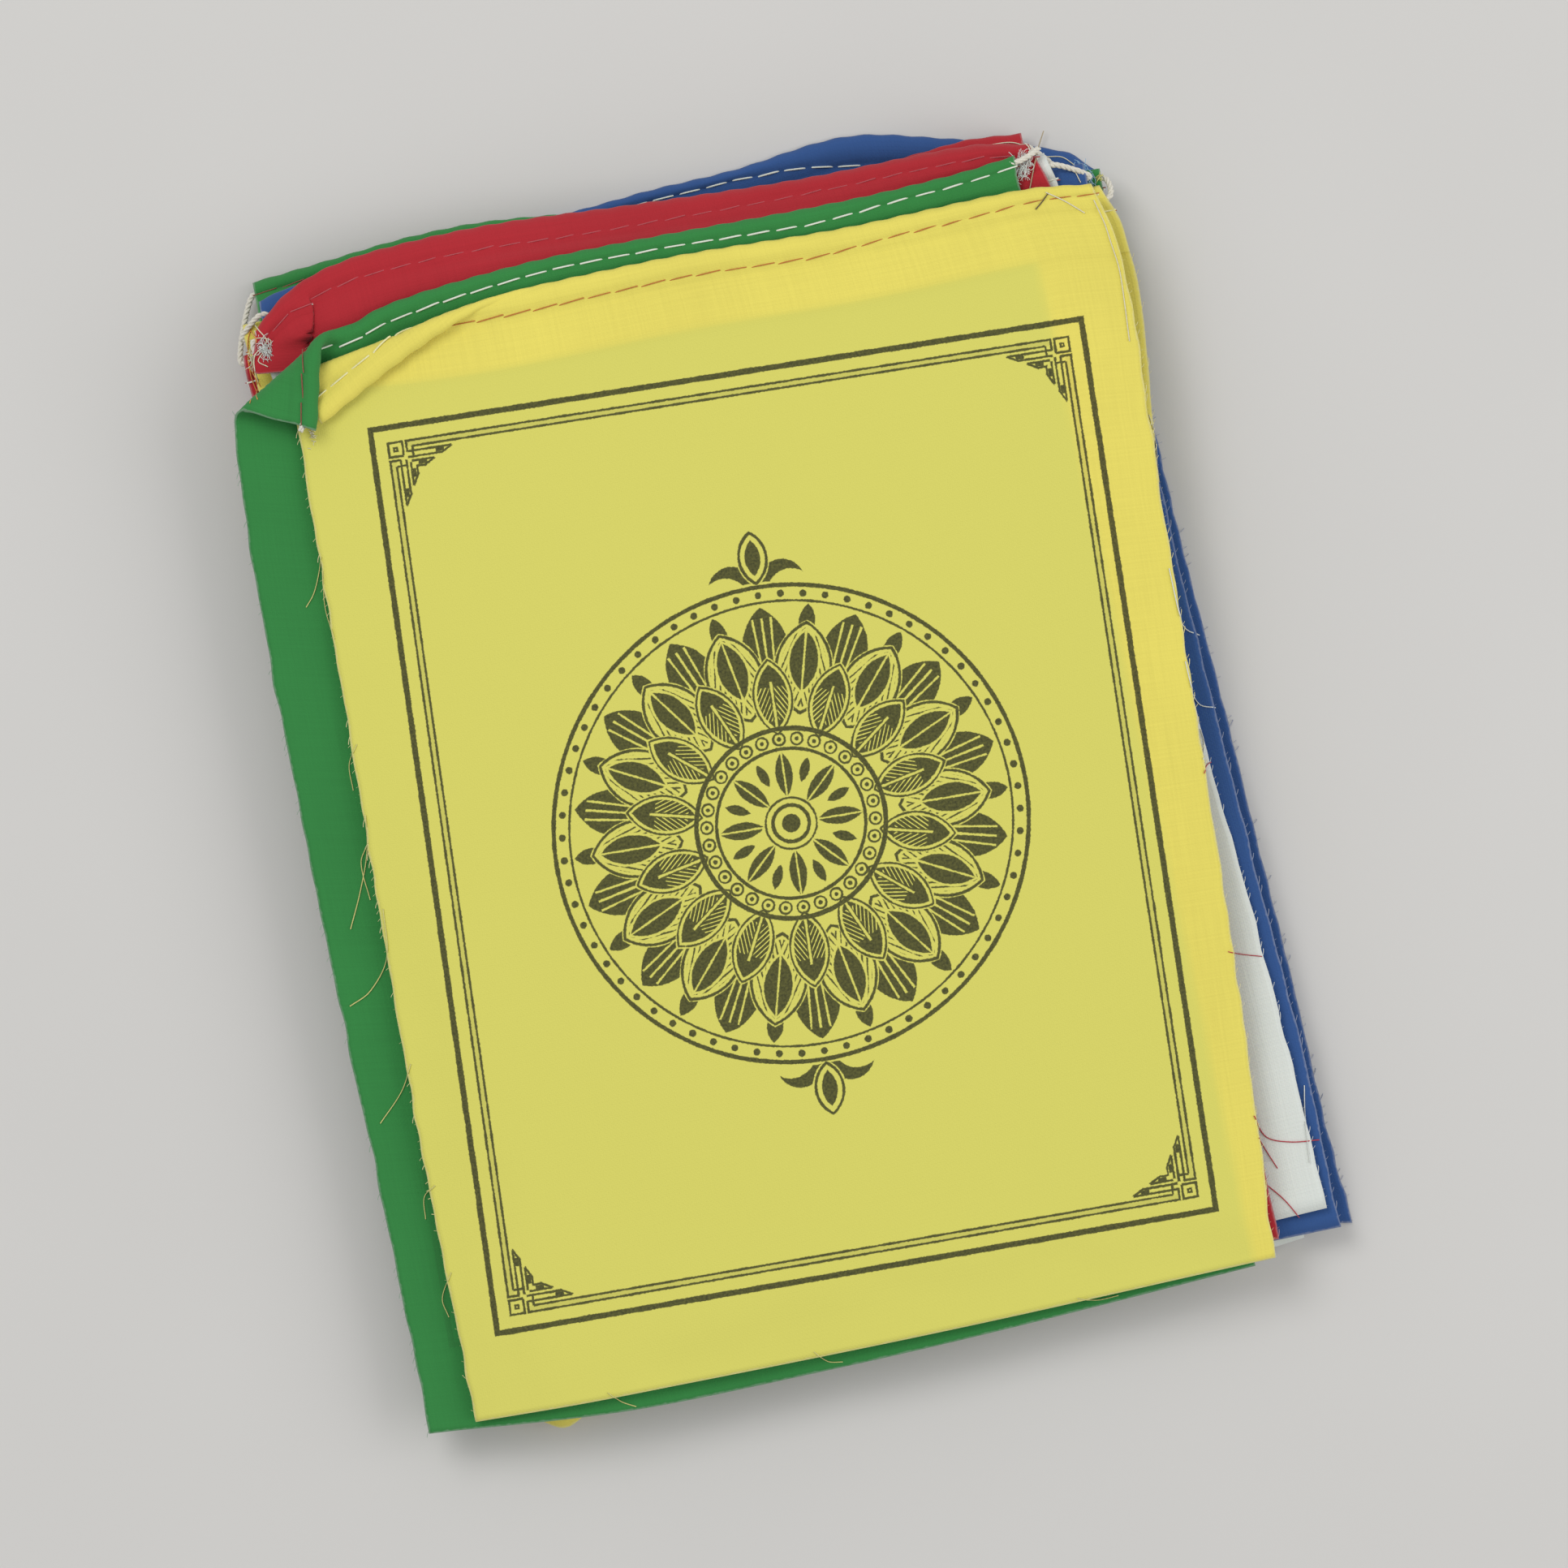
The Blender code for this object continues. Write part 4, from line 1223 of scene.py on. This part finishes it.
# %% Run a tree on lines and keep the mesh
def line_mesh(name, lines, vectors=None, vector_name="off_cloth"):
    """A mesh of open lines, in the frame, with a direction stored at each point if one is given."""
    vertices, edges, directions = [], [], []
    for number, line in enumerate(lines):
        first = len(vertices)
        vertices += in_frame(line).tolist()
        edges += [(first + k, first + k + 1) for k in range(len(line) - 1)]
        if vectors is not None:
            directions += np.asarray(vectors[number], float).tolist()
    mesh = bpy.data.meshes.new(name)
    mesh.from_pydata(vertices, edges, [])
    if vectors is not None:
        attribute = mesh.attributes.new(vector_name, "FLOAT_VECTOR", "POINT")
        attribute.data.foreach_set("vector", np.array(directions, np.float32).ravel())
    return mesh


def grow(name, mesh, tree, inputs):
    """Runs a node tree on a mesh, and keeps the result as a plain object."""
    source = bpy.data.objects.new(name, mesh)
    bpy.context.scene.collection.objects.link(source)
    modifier = source.modifiers.new(tree.name, "NODES")
    modifier.node_group = tree
    identifiers = {item.name: item.identifier for item in tree.interface.items_tree if item.in_out == "INPUT"}
    for label, value in inputs.items():
        modifier[identifiers[label]] = value
    graph = bpy.context.evaluated_depsgraph_get()
    grown = bpy.data.meshes.new_from_object(source.evaluated_get(graph))
    source.modifiers.remove(modifier)
    source.data = grown
    bpy.data.meshes.remove(mesh)
    grown.name = name
    return source


def surface_line(flag, depth, out, lift, count=240, start=0.012, stop=0.988, past_top=False):
    """A line along a flag at one depth, lifted off the cloth, and the direction off the cloth there."""
    across = np.linspace(start, stop, count)
    near = [depth - 0.6, depth, depth + 0.6]
    points, turned = lay(flag, across, near, [out] * 3)
    side = np.sign(out)
    _, _, outward = turn_corner(flag, net_places(flag, across, wander(flag, across, near)))
    up = flag["facing"] * side
    flat, rise = np.sin(turned[1]) * up, np.cos(turned[1]) * up
    off = np.concatenate([-outward * flat[:, None], rise[:, None]], axis=1)
    return points[1] + off * lift, off


print("ready to grow pieces")

# %% [markdown]
# ## The seams
# Each heading has two seams to see: the needle thread on the printed side, and the bobbin thread on
# the hem's side. On these flags the bobbin thread is white, and the needle thread is whatever the
# sewer had on the machine.

# %% Sew the headings
NEEDLE_RADIUS = 0.125
BOBBIN_RADIUS = 0.2
NEEDLE_COLOURS = {
    "yellow": (0.50, 0.155, 0.02),
    "green": (0.25, 0.07, 0.035),
    "red": (0.50, 0.07, 0.09),
    "white": (0.55, 0.10, 0.08),
    "blue": (0.60, 0.64, 0.62),
}
BOBBIN_COLOURS = {"yellow": (0.86, 0.80, 0.42)}
WHITE_THREAD = (0.78, 0.82, 0.72)
needle_threads = {c: thread_material(f"{c} flag's needle thread", v) for c, v in NEEDLE_COLOURS.items()}
bobbin_threads = {}
for colour in NEEDLE_COLOURS:
    bobbin_colour = BOBBIN_COLOURS.get(colour, WHITE_THREAD)
    bobbin_threads[colour] = thread_material(f"{colour} flag's bobbin thread", bobbin_colour)


def sew(flag):
    """Both rows of stitches of one heading, as one piece."""
    rows = []
    needle = (1, NEEDLE_RADIUS, 5.5, 0.06, needle_threads[flag["colour"]])
    bobbin = (-1, BOBBIN_RADIUS, 4.9, 0.03, bobbin_threads[flag["colour"]])
    for side, radius, length, slant, thread in (needle, bobbin):
        line, off = surface_line(flag, STITCH_DEPTH, side * 0.22, CLOTH_THICK / 2 + radius * 0.6)
        name = f"seam_{flag['number']:02d}_{'front' if side > 0 else 'back'}"
        mesh = line_mesh(name, [line], [off])
        rows.append(grow(name, mesh, sewing, {
            "Pitch": STITCH_PITCH * MM, "Stitch Length": length * MM, "Thread Radius": radius * MM,
            "Slant": slant, "Unevenness": 0.04, "Seed": flag["number"] * 2 + side, "Thread": thread}))
    return rows


for flag in flags:
    flag["seams"] = sew(flag)
print("faces of the first seam:", len(flags[0]["seams"][0].data.polygons))

# %% [markdown]
# ## The string
# One cotton string runs through all ten headings and shows where it turns from one into the next.
# It is three strands twisted together. The middle of each turn is read from its solid, ring by
# ring, and a node tree winds the strands round it.

# %% The middle line of each turn of the string
import bmesh

RIM_ANGLE = math.radians(65)


def ring_middles(node):
    """The middles of the rings of points that a capped tube is made of, from one end to the other."""
    tube = bmesh.new()
    tube.from_mesh(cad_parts[node].data)
    bmesh.ops.remove_doubles(tube, verts=tube.verts, dist=1e-6)
    rims = [e for e in tube.edges if e.is_manifold and e.calc_face_angle() > RIM_ANGLE]
    ring = {rims[0].verts[0]}
    while True:
        wider = ring | {e.other_vert(v) for v in ring for e in v.link_edges if e in rims}
        if wider == ring:
            break
        ring = wider
    seen, middles = set(), []
    while ring:
        seen |= ring
        middles.append(np.mean([v.co for v in ring], axis=0) / MM - shift)
        ring = {e.other_vert(v) for v in ring for e in v.link_edges} - seen
    tube.free()
    return np.array(middles)


ROLL_MIDDLE = 2.8
INTO_ROLL = 1.6
OUT_OF_ROLL = 0.5
SLACK = 0.3


def roll_middle_shift(flag, share):
    """How far up the cloth the middle of the roll has moved where the seam runs nearer the edge."""
    return ROLL_MIDDLE * (1 - float(seam_depth(flag, share)) / STITCH_DEPTH)


def pulled_tight(number, route):
    """The turn as a soft string takes it: out of one heading and straight into the next."""
    route = route if route[0][2] > route[-1][2] else route[::-1]
    ways = [route[0] - route[1], route[-1] - route[-2]]
    ways = [way / np.linalg.norm(way) for way in ways]
    ends = [route[0].copy(), route[-1].copy()]
    if number > 1:
        share = 0.0 if number % 2 else 1.0
        ends[0][1] += roll_middle_shift(flags[number - 1], share)
        ends[1][1] += roll_middle_shift(flags[number], share)
    inside = [end + way * INTO_ROLL for end, way in zip(ends, ways)]
    mouths = [end - way * OUT_OF_ROLL for end, way in zip(ends, ways)]
    middle = (mouths[0] + mouths[1]) / 2 - (ways[0] + ways[1]) * SLACK
    return np.array([inside[0], mouths[0], middle, mouths[1], inside[1]])


turn_names = sorted(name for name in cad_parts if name.startswith("string_turn"))
routes = {name: pulled_tight(int(name[-2:]), ring_middles(name)) for name in turn_names}
print("points on each turn:", [len(route) for route in routes.values()])

# %% [markdown]
# ## Twisted strands
# A cotton string is three yarns laid round each other. A spiral could be drawn for each of them, but
# a node tree moves three copies of one line off its middle, each a third of a turn further round,
# and gives every copy a round section.

# %% A node tree that twists strands round a line
def twisting_tree(strands=3):
    """Strands twisted round the line that the object's mesh draws."""
    tree, given, result = new_tree("twisted string", (
        ("Twist Length", "Float"), ("Strand Radius", "Float"), ("Off Middle", "Float"),
        ("Thread", "Material")))
    wire = given.outputs
    line = add(tree, "GeometryNodeMeshToCurve", Mesh=wire["Geometry"])
    kind = add(tree, "GeometryNodeCurveSplineType", {"spline_type": "CATMULL_ROM"},
               Curve=line.outputs["Curve"])
    fine = add(tree, "GeometryNodeResampleCurve", {"mode": "LENGTH"},
               Curve=kind.outputs["Curve"], Length=0.22 * MM)
    place = add(tree, "GeometryNodeSplineParameter")
    turns = sums(tree, "DIVIDE", place.outputs["Length"], wire["Twist Length"])
    normal = add(tree, "GeometryNodeInputNormal").outputs["Normal"]
    tangent = add(tree, "GeometryNodeInputTangent").outputs["Tangent"]
    beside = add(tree, "ShaderNodeVectorMath", {"operation": "CROSS_PRODUCT"}, _0=tangent, _1=normal)
    join = tree.nodes.new("GeometryNodeJoinGeometry")
    for strand in range(strands):
        angle = sums(tree, "MULTIPLY_ADD", turns, 2 * math.pi, 2 * math.pi * strand / strands)
        one = add(tree, "ShaderNodeVectorMath", {"operation": "SCALE"},
                  _0=normal, Scale=sums(tree, "COSINE", angle))
        other = add(tree, "ShaderNodeVectorMath", {"operation": "SCALE"},
                    _0=beside.outputs[0], Scale=sums(tree, "SINE", angle))
        both = add(tree, "ShaderNodeVectorMath", {"operation": "ADD"}, _0=one.outputs[0], _1=other.outputs[0])
        off = add(tree, "ShaderNodeVectorMath", {"operation": "SCALE"},
                  _0=both.outputs[0], Scale=wire["Off Middle"])
        moved = add(tree, "GeometryNodeSetPosition", Geometry=fine.outputs["Curve"], Offset=off.outputs[0])
        tube = tube_round(tree, moved.outputs["Geometry"], 7, wire["Strand Radius"])
        tree.links.new(tube, join.inputs["Geometry"])
    finish_tree(tree, result, join.outputs["Geometry"], wire["Thread"])
    return tree


twisting = twisting_tree()
string_material = thread_material("undyed cotton string", (0.74, 0.71, 0.62), 0.9)
string_sizes = {"Twist Length": 3.4 * MM, "Strand Radius": 0.32 * MM, "Off Middle": 0.3 * MM}
strings = []
for name, route in routes.items():
    inputs = {**string_sizes, "Thread": string_material}
    piece = grow(name.replace("turn", "piece"), line_mesh(name, [route]), twisting, inputs)
    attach(piece, "root")
    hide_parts(name)
    strings.append(piece)
print("string pieces:", len(strings), "faces:", sum(len(s.data.polygons) for s in strings))

# %% [markdown]
# ## Cut edges that fray
# The flags' sides are cut and never hemmed, so threads work loose all along them. A node tree
# plants them: one short thread at each step along the edge, pointing outwards and a little to one
# side, each with its own length.

# %% A node tree that frays an edge
def fraying_tree():
    """Short loose threads along the line that the object's mesh draws."""
    tree, given, result = new_tree("frayed edge", (
        ("Spacing", "Float"), ("Shortest", "Float"), ("Longest", "Float"), ("Thread Radius", "Float"),
        ("Spread", "Float"), ("Seed", "Int"), ("Thread", "Material")))
    wire = given.outputs
    line = add(tree, "GeometryNodeMeshToCurve", Mesh=wire["Geometry"])
    steps = add(tree, "GeometryNodeCurveToPoints", {"mode": "LENGTH"},
                Curve=line.outputs["Curve"], Length=wire["Spacing"])
    # One thread is drawn 1 long and then scaled, so its radius is a share of its length.
    thread = add(tree, "GeometryNodeCurvePrimitiveBezierSegment", {"mode": "POSITION"}, Resolution=4,
                 Start=(-0.3, 0.0, 0.0), Start_Handle=(0.2, 0.0, 0.0),
                 End_Handle=(0.7, 0.12, 0.0), End=(1.0, 0.3, 0.0))
    one = tube_round(tree, thread.outputs["Curve"], 3, wire["Thread Radius"])
    outward = add(tree, "GeometryNodeInputNamedAttribute", {"data_type": "FLOAT_VECTOR"}, Name="off_cloth")
    along = add(tree, "FunctionNodeAlignRotationToVector", {"axis": "X"}, Vector=outward.outputs["Attribute"])
    less = sums(tree, "MULTIPLY", wire["Spread"], -1.0)
    yaw = by_chance(tree, less, wire["Spread"], wire["Seed"])
    tilt = by_chance(tree, -0.12, 0.22, wire["Seed"], ID=7)
    crooked = turned_by(tree, along.outputs["Rotation"], Y=tilt, Z=yaw)
    # Most threads are short and few are long.
    rare = sums(tree, "POWER", by_chance(tree, 0.0, 1.0, wire["Seed"]), 3.0)
    length = add(tree, "ShaderNodeMapRange", Value=rare, To_Min=wire["Shortest"], To_Max=wire["Longest"])
    size = add(tree, "ShaderNodeCombineXYZ", X=length.outputs[0], Y=length.outputs[0], Z=length.outputs[0])
    row = add(tree, "GeometryNodeInstanceOnPoints", Points=steps.outputs["Points"], Instance=one,
              Rotation=crooked, Scale=size.outputs[0])
    finish_tree(tree, result, row.outputs["Instances"], wire["Thread"])
    return tree


fraying = fraying_tree()
fray_threads = {}
for colour, value in CLOTH_COLOURS.items():
    paler = tuple(0.6 * c + 0.4 * 0.7 for c in value)
    fray_threads[colour] = thread_material(f"loose {colour} threads", paler, 0.9)


def side_line(flag, share, count=160):
    """A line down one side of a flag, and the direction straight out of it."""
    depth = np.linspace(16.5, FLAG_HEIGHT - 0.5, count)
    inner = 0.02 if share < 0.5 else 0.98
    points, _ = lay(flag, [share, inner], depth, np.zeros(count))
    out = points[:, 0] - points[:, 1]
    return points[:, 0], out / np.linalg.norm(out, axis=1, keepdims=True)


def fray(flag):
    """Loose threads down both sides of a flag."""
    lines, outs = zip(side_line(flag, 0.0), side_line(flag, 1.0))
    name = f"frays_{flag['number']:02d}"
    return grow(name, line_mesh(name, lines, outs), fraying, {
        "Spacing": 1.7 * MM, "Shortest": 0.25 * MM, "Longest": 1.6 * MM, "Thread Radius": 0.06,
        "Spread": 1.1, "Seed": 40 + flag["number"], "Thread": fray_threads[flag["colour"]]})


for flag in flags:
    flag["frays"] = fray(flag)
print("faces of the frays:", sum(len(flag["frays"].data.polygons) for flag in flags))

# %% [markdown]
# ## Single loose threads
# Long threads have come out of the cut sides and lie where they fell: pale ones over the green, red
# ones across the white, and a tangle at the left end of the headings. They are too few and too
# different for a rule, so each is written down by the points it passes. A ray from above finds what
# it lies on at each point, and a small node tree gives it its thickness.

# %% Lay single threads on the pile
graph = bpy.context.evaluated_depsgraph_get()
for flag in flags:
    flag["tree"] = BVHTree.FromObject(flag["cloth"], graph)


def top_height(x, y):
    """The height of the uppermost cloth at a place, in millimetres, or nothing beside the pile."""
    spot = Vector(in_frame((x, y, 60.0)))
    hits = [flag["tree"].ray_cast(spot, -UP)[0] for flag in flags]
    heights = [hit.z / MM for hit in hits if hit is not None]
    return max(heights) if heights else math.nan


def lying_line(points, lift, count=22):
    """A smooth line through places seen from above, laid on whatever is under it."""
    flat = edge_places(points, np.linspace(0, 1, count))
    heights = np.array([top_height(x, y) for x, y in flat])
    known = ~np.isnan(heights)
    heights = np.interp(np.arange(count), np.arange(count)[known], heights[known])
    beside = np.pad(heights, 1, mode="edge")
    bridged = np.maximum(heights, (beside[:-2] + beside[2:]) / 2)
    return np.column_stack([flat, bridged + lift])


def thread_tree():
    """A round thread along the line that the object's mesh draws, thinner at its ends."""
    tree, given, result = new_tree("loose thread", (("Thread Radius", "Float"), ("Thread", "Material")))
    wire = given.outputs
    line = add(tree, "GeometryNodeMeshToCurve", Mesh=wire["Geometry"])
    place = add(tree, "GeometryNodeSplineParameter")
    from_end = sums(tree, "PINGPONG", place.outputs["Factor"], 0.5)
    swell = add(tree, "ShaderNodeMapRange", Value=from_end, From_Max=0.06, To_Min=0.35, To_Max=1.0)
    sized = add(tree, "GeometryNodeSetCurveRadius", Curve=line.outputs["Curve"], Radius=swell.outputs[0])
    tube = tube_round(tree, sized.outputs["Curve"], 5, wire["Thread Radius"])
    finish_tree(tree, result, tube, wire["Thread"])
    return tree


THREAD_COLOURS = {
    "pale yellow": (0.66, 0.62, 0.22),
    "cream": (0.74, 0.70, 0.52),
    "beige": (0.46, 0.38, 0.24),
    "brown": (0.09, 0.055, 0.04),
    "orange": (0.72, 0.30, 0.06),
    "red": (0.50, 0.03, 0.05),
    "white": (0.72, 0.75, 0.72),
    "pale blue": (0.30, 0.50, 0.66),
}
loose_materials = {}
for name, value in THREAD_COLOURS.items():
    loose_materials[name] = thread_material(f"loose {name} thread", value, 0.9)
# Each row: the flag that the thread came out of, its colour, its radius and the points it passes.
LOOSE_THREADS = (
    (1, "pale yellow", 0.11, ((-84.6, 68.9), (-86.1, 64.8), (-87.7, 61.6), (-89.6, 59.4))),
    (1, "pale yellow", 0.10, ((-84.9, 66.0), (-85.8, 58.5), (-85.1, 52.0))),
    (1, "pale yellow", 0.10, ((-84.6, 30.1), (-87.0, 26.4), (-87.2, 21.0))),
    (1, "pale yellow", 0.12, ((-85.6, 15.6), (-86.8, 8.2), (-89.8, 0.3), (-93.1, -6.6))),
    (1, "pale yellow", 0.11, ((-86.2, 10.0), (-88.4, 6.3), (-88.0, -1.5))),
    (1, "pale yellow", 0.12, ((-85.7, -3.8), (-86.9, -13.7), (-91.6, -19.8), (-96.2, -22.0))),
    (1, "pale yellow", 0.11, ((-86.1, -35.8), (-89.1, -41.0), (-94.6, -46.6))),
    (1, "pale yellow", 0.10, ((-85.9, -61.0), (-88.6, -63.0), (-89.2, -67.5))),
    (1, "pale yellow", 0.10, ((-86.0, -79.0), (-88.9, -84.0), (-88.3, -88.0))),
    (1, "pale yellow", 0.11, ((-59.3, -109.0), (-57.0, -111.4), (-54.2, -113.0))),
    (1, "pale yellow", 0.10, ((-16.6, -108.7), (-14.2, -111.3), (-11.2, -112.0))),
    (1, "pale yellow", 0.10, ((38.1, -108.1), (41.9, -109.3), (46.5, -109.2))),
    (1, "cream", 0.13, ((73.8, 113.9), (77.1, 111.6), (80.8, 108.4))),
    (1, "brown", 0.12, ((71.1, 110.9), (72.6, 112.1), (74.3, 113.7))),
    (1, "cream", 0.12, (
        (83.1, 110.6), (84.4, 105.5), (84.9, 101.6), (85.6, 96.1), (85.4, 89.4), (84.9, 81.1))),
    (2, "beige", 0.13, ((70.9, 115.5), (72.9, 120.5), (74.5, 123.9), (76.3, 127.2))),
    (3, "cream", 0.12, ((64.4, 126.3), (69.5, 125.9), (72.2, 124.0), (71.9, 120.6))),
    (3, "red", 0.10, ((81.4, -44.5), (84.0, -45.6), (88.3, -46.9))),
    (3, "red", 0.12, ((80.4, -78.3), (82.2, -83.2), (86.6, -85.1), (92.8, -85.9))),
    (3, "red", 0.12, ((80.4, -92.7), (83.5, -96.6), (85.8, -100.7))),
    (3, "red", 0.10, ((83.4, -8.0), (84.6, -6.4), (85.6, -6.0))),
    (3, "red", 0.11, ((80.6, -83.0), (81.9, -86.5), (83.3, -90.0))),
    (4, "cream", 0.11, ((-90.9, 115.1), (-88.3, 114.9), (-86.5, 113.9), (-89.8, 110.5), (-88.1, 108.9))),
    (4, "cream", 0.12, ((-89.7, 118.7), (-88.6, 116.7), (-87.4, 114.0), (-90.4, 111.5), (-90.9, 106.5))),
    (4, "white", 0.11, ((84.6, 1.0), (84.8, -1.9), (83.8, -5.2))),
    (5, "white", 0.12, ((91.9, -74.4), (91.0, -79.5), (90.4, -84.4), (90.0, -90.1))),
    (5, "cream", 0.11, ((75.8, 121.9), (79.0, 121.2), (81.3, 119.0))),
    (5, "cream", 0.10, ((76.4, 120.2), (79.9, 118.9), (81.4, 114.9))),
    (6, "orange", 0.12, ((-89.6, 118.6), (-91.3, 115.0), (-92.2, 108.5), (-91.2, 102.6))),
    (6, "orange", 0.11, ((-90.5, 117.2), (-89.4, 114.5), (-92.2, 111.6), (-90.6, 105.5))),
    (6, "orange", 0.10, ((-92.0, 109.4), (-91.2, 106.0), (-92.9, 102.1))),
    (6, "white", 0.13, ((84.2, 34.3), (84.6, 24.7), (85.7, 21.4), (88.3, 19.9))),
    (6, "white", 0.12, ((83.9, 15.1), (84.3, 9.2), (85.5, 5.9), (88.6, 4.7))),
    (6, "cream", 0.10, ((86.4, 66.0), (86.9, 60.0), (85.8, 53.0))),
)
loose_tree = thread_tree()
for flag in flags:
    flag["loose"] = []
for number, (owner, colour, radius, points) in enumerate(LOOSE_THREADS, start=1):
    name = f"loose_thread_{number:02d}"
    mesh = line_mesh(name, [lying_line(points, radius + 0.1)])
    flags[owner - 1]["loose"].append(grow(name, mesh, loose_tree, {
        "Thread Radius": radius * MM, "Thread": loose_materials[colour]}))
print("loose threads:", len(LOOSE_THREADS))

# %% [markdown]
# ## Tufts
# Where the string leaves a heading it comes undone, and the corners of the cloth do the same: a
# small soft tuft of fibres. Hair particles could make one, but a few dozen short bent lines, strewn
# by chance in a small oval, go through the same node tree as the loose threads.

# %% Tufts at the corners and the string's turns
# Each row: name, flag, colour, middle, width, length, direction in degrees, lift and number of fibres.
TUFTS = (
    ("tuft_white_right", 2, "white", (70.4, 120.5), 3.2, 5.0, 70.0, 0.9, 90),
    ("tuft_pale_ear", 2, "cream", (-81.6, 94.0), 4.6, 1.6, 170.0, 0.3, 40),
    ("tuft_blue_corner", 5, "pale blue", (83.0, 116.2), 2.4, 4.6, 110.0, 0.3, 60),
    ("tuft_white_left", 4, "white", (-88.0, 112.4), 2.2, 4.4, 95.0, 0.3, 60),
    ("tuft_cream_left", 6, "cream", (-90.9, 111.0), 1.4, 5.0, 84.0, 0.2, 30),
    ("tuft_green_corner", 7, "pale yellow", (85.4, 115.4), 1.2, 2.0, 40.0, 0.1, 20),
)
for number, (name, owner, colour, middle, width, length, angle, lift, fibres) in enumerate(TUFTS):
    random = np.random.default_rng(70 + number)
    base = top_height(*middle) + lift
    lines = []
    for _ in range(fibres):
        turn = math.radians(angle) + random.normal(0, 0.55)
        bend = random.normal(0, 0.5)
        reach = length * random.uniform(0.25, 0.6)
        spot = random.normal(0, 0.26, 2) * (length, width)
        main = np.array([math.cos(math.radians(angle)), math.sin(math.radians(angle))])
        start = np.array(middle) + main * spot[0] + np.array([-main[1], main[0]]) * spot[1]
        height = base + 0.9 * random.uniform(0, 1) * math.exp(-2 * (spot[1] / width) ** 2)
        steps = np.linspace(-0.5, 0.5, 6)
        turns = turn + bend * steps * 2
        flat = start + np.stack([np.cos(turns), np.sin(turns)], axis=1) * (reach * steps)[:, None]
        lines.append(np.column_stack([flat, height - 0.5 * (steps * 2) ** 2]))
    flags[owner - 1]["loose"].append(grow(name, line_mesh(name, lines), loose_tree, {
        "Thread Radius": 0.065 * MM, "Thread": loose_materials[colour]}))
print("tufts:", len(TUFTS))

# %% [markdown]
# ## Handing the pieces to the frame
# Nothing in the pile moves by itself, so every piece rides on the one body. Each cloth stands for
# its solid, which is hidden.

# %% Ride and replace
for flag, below in zip(flags, [*flags[1:], None]):
    extras = [*flag["seams"], flag["frays"], *flag["loose"]]
    for piece in [flag["cloth"], *extras]:
        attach(piece, "root")
    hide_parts(flag["name"])
print("declared sheets:", len(flags))
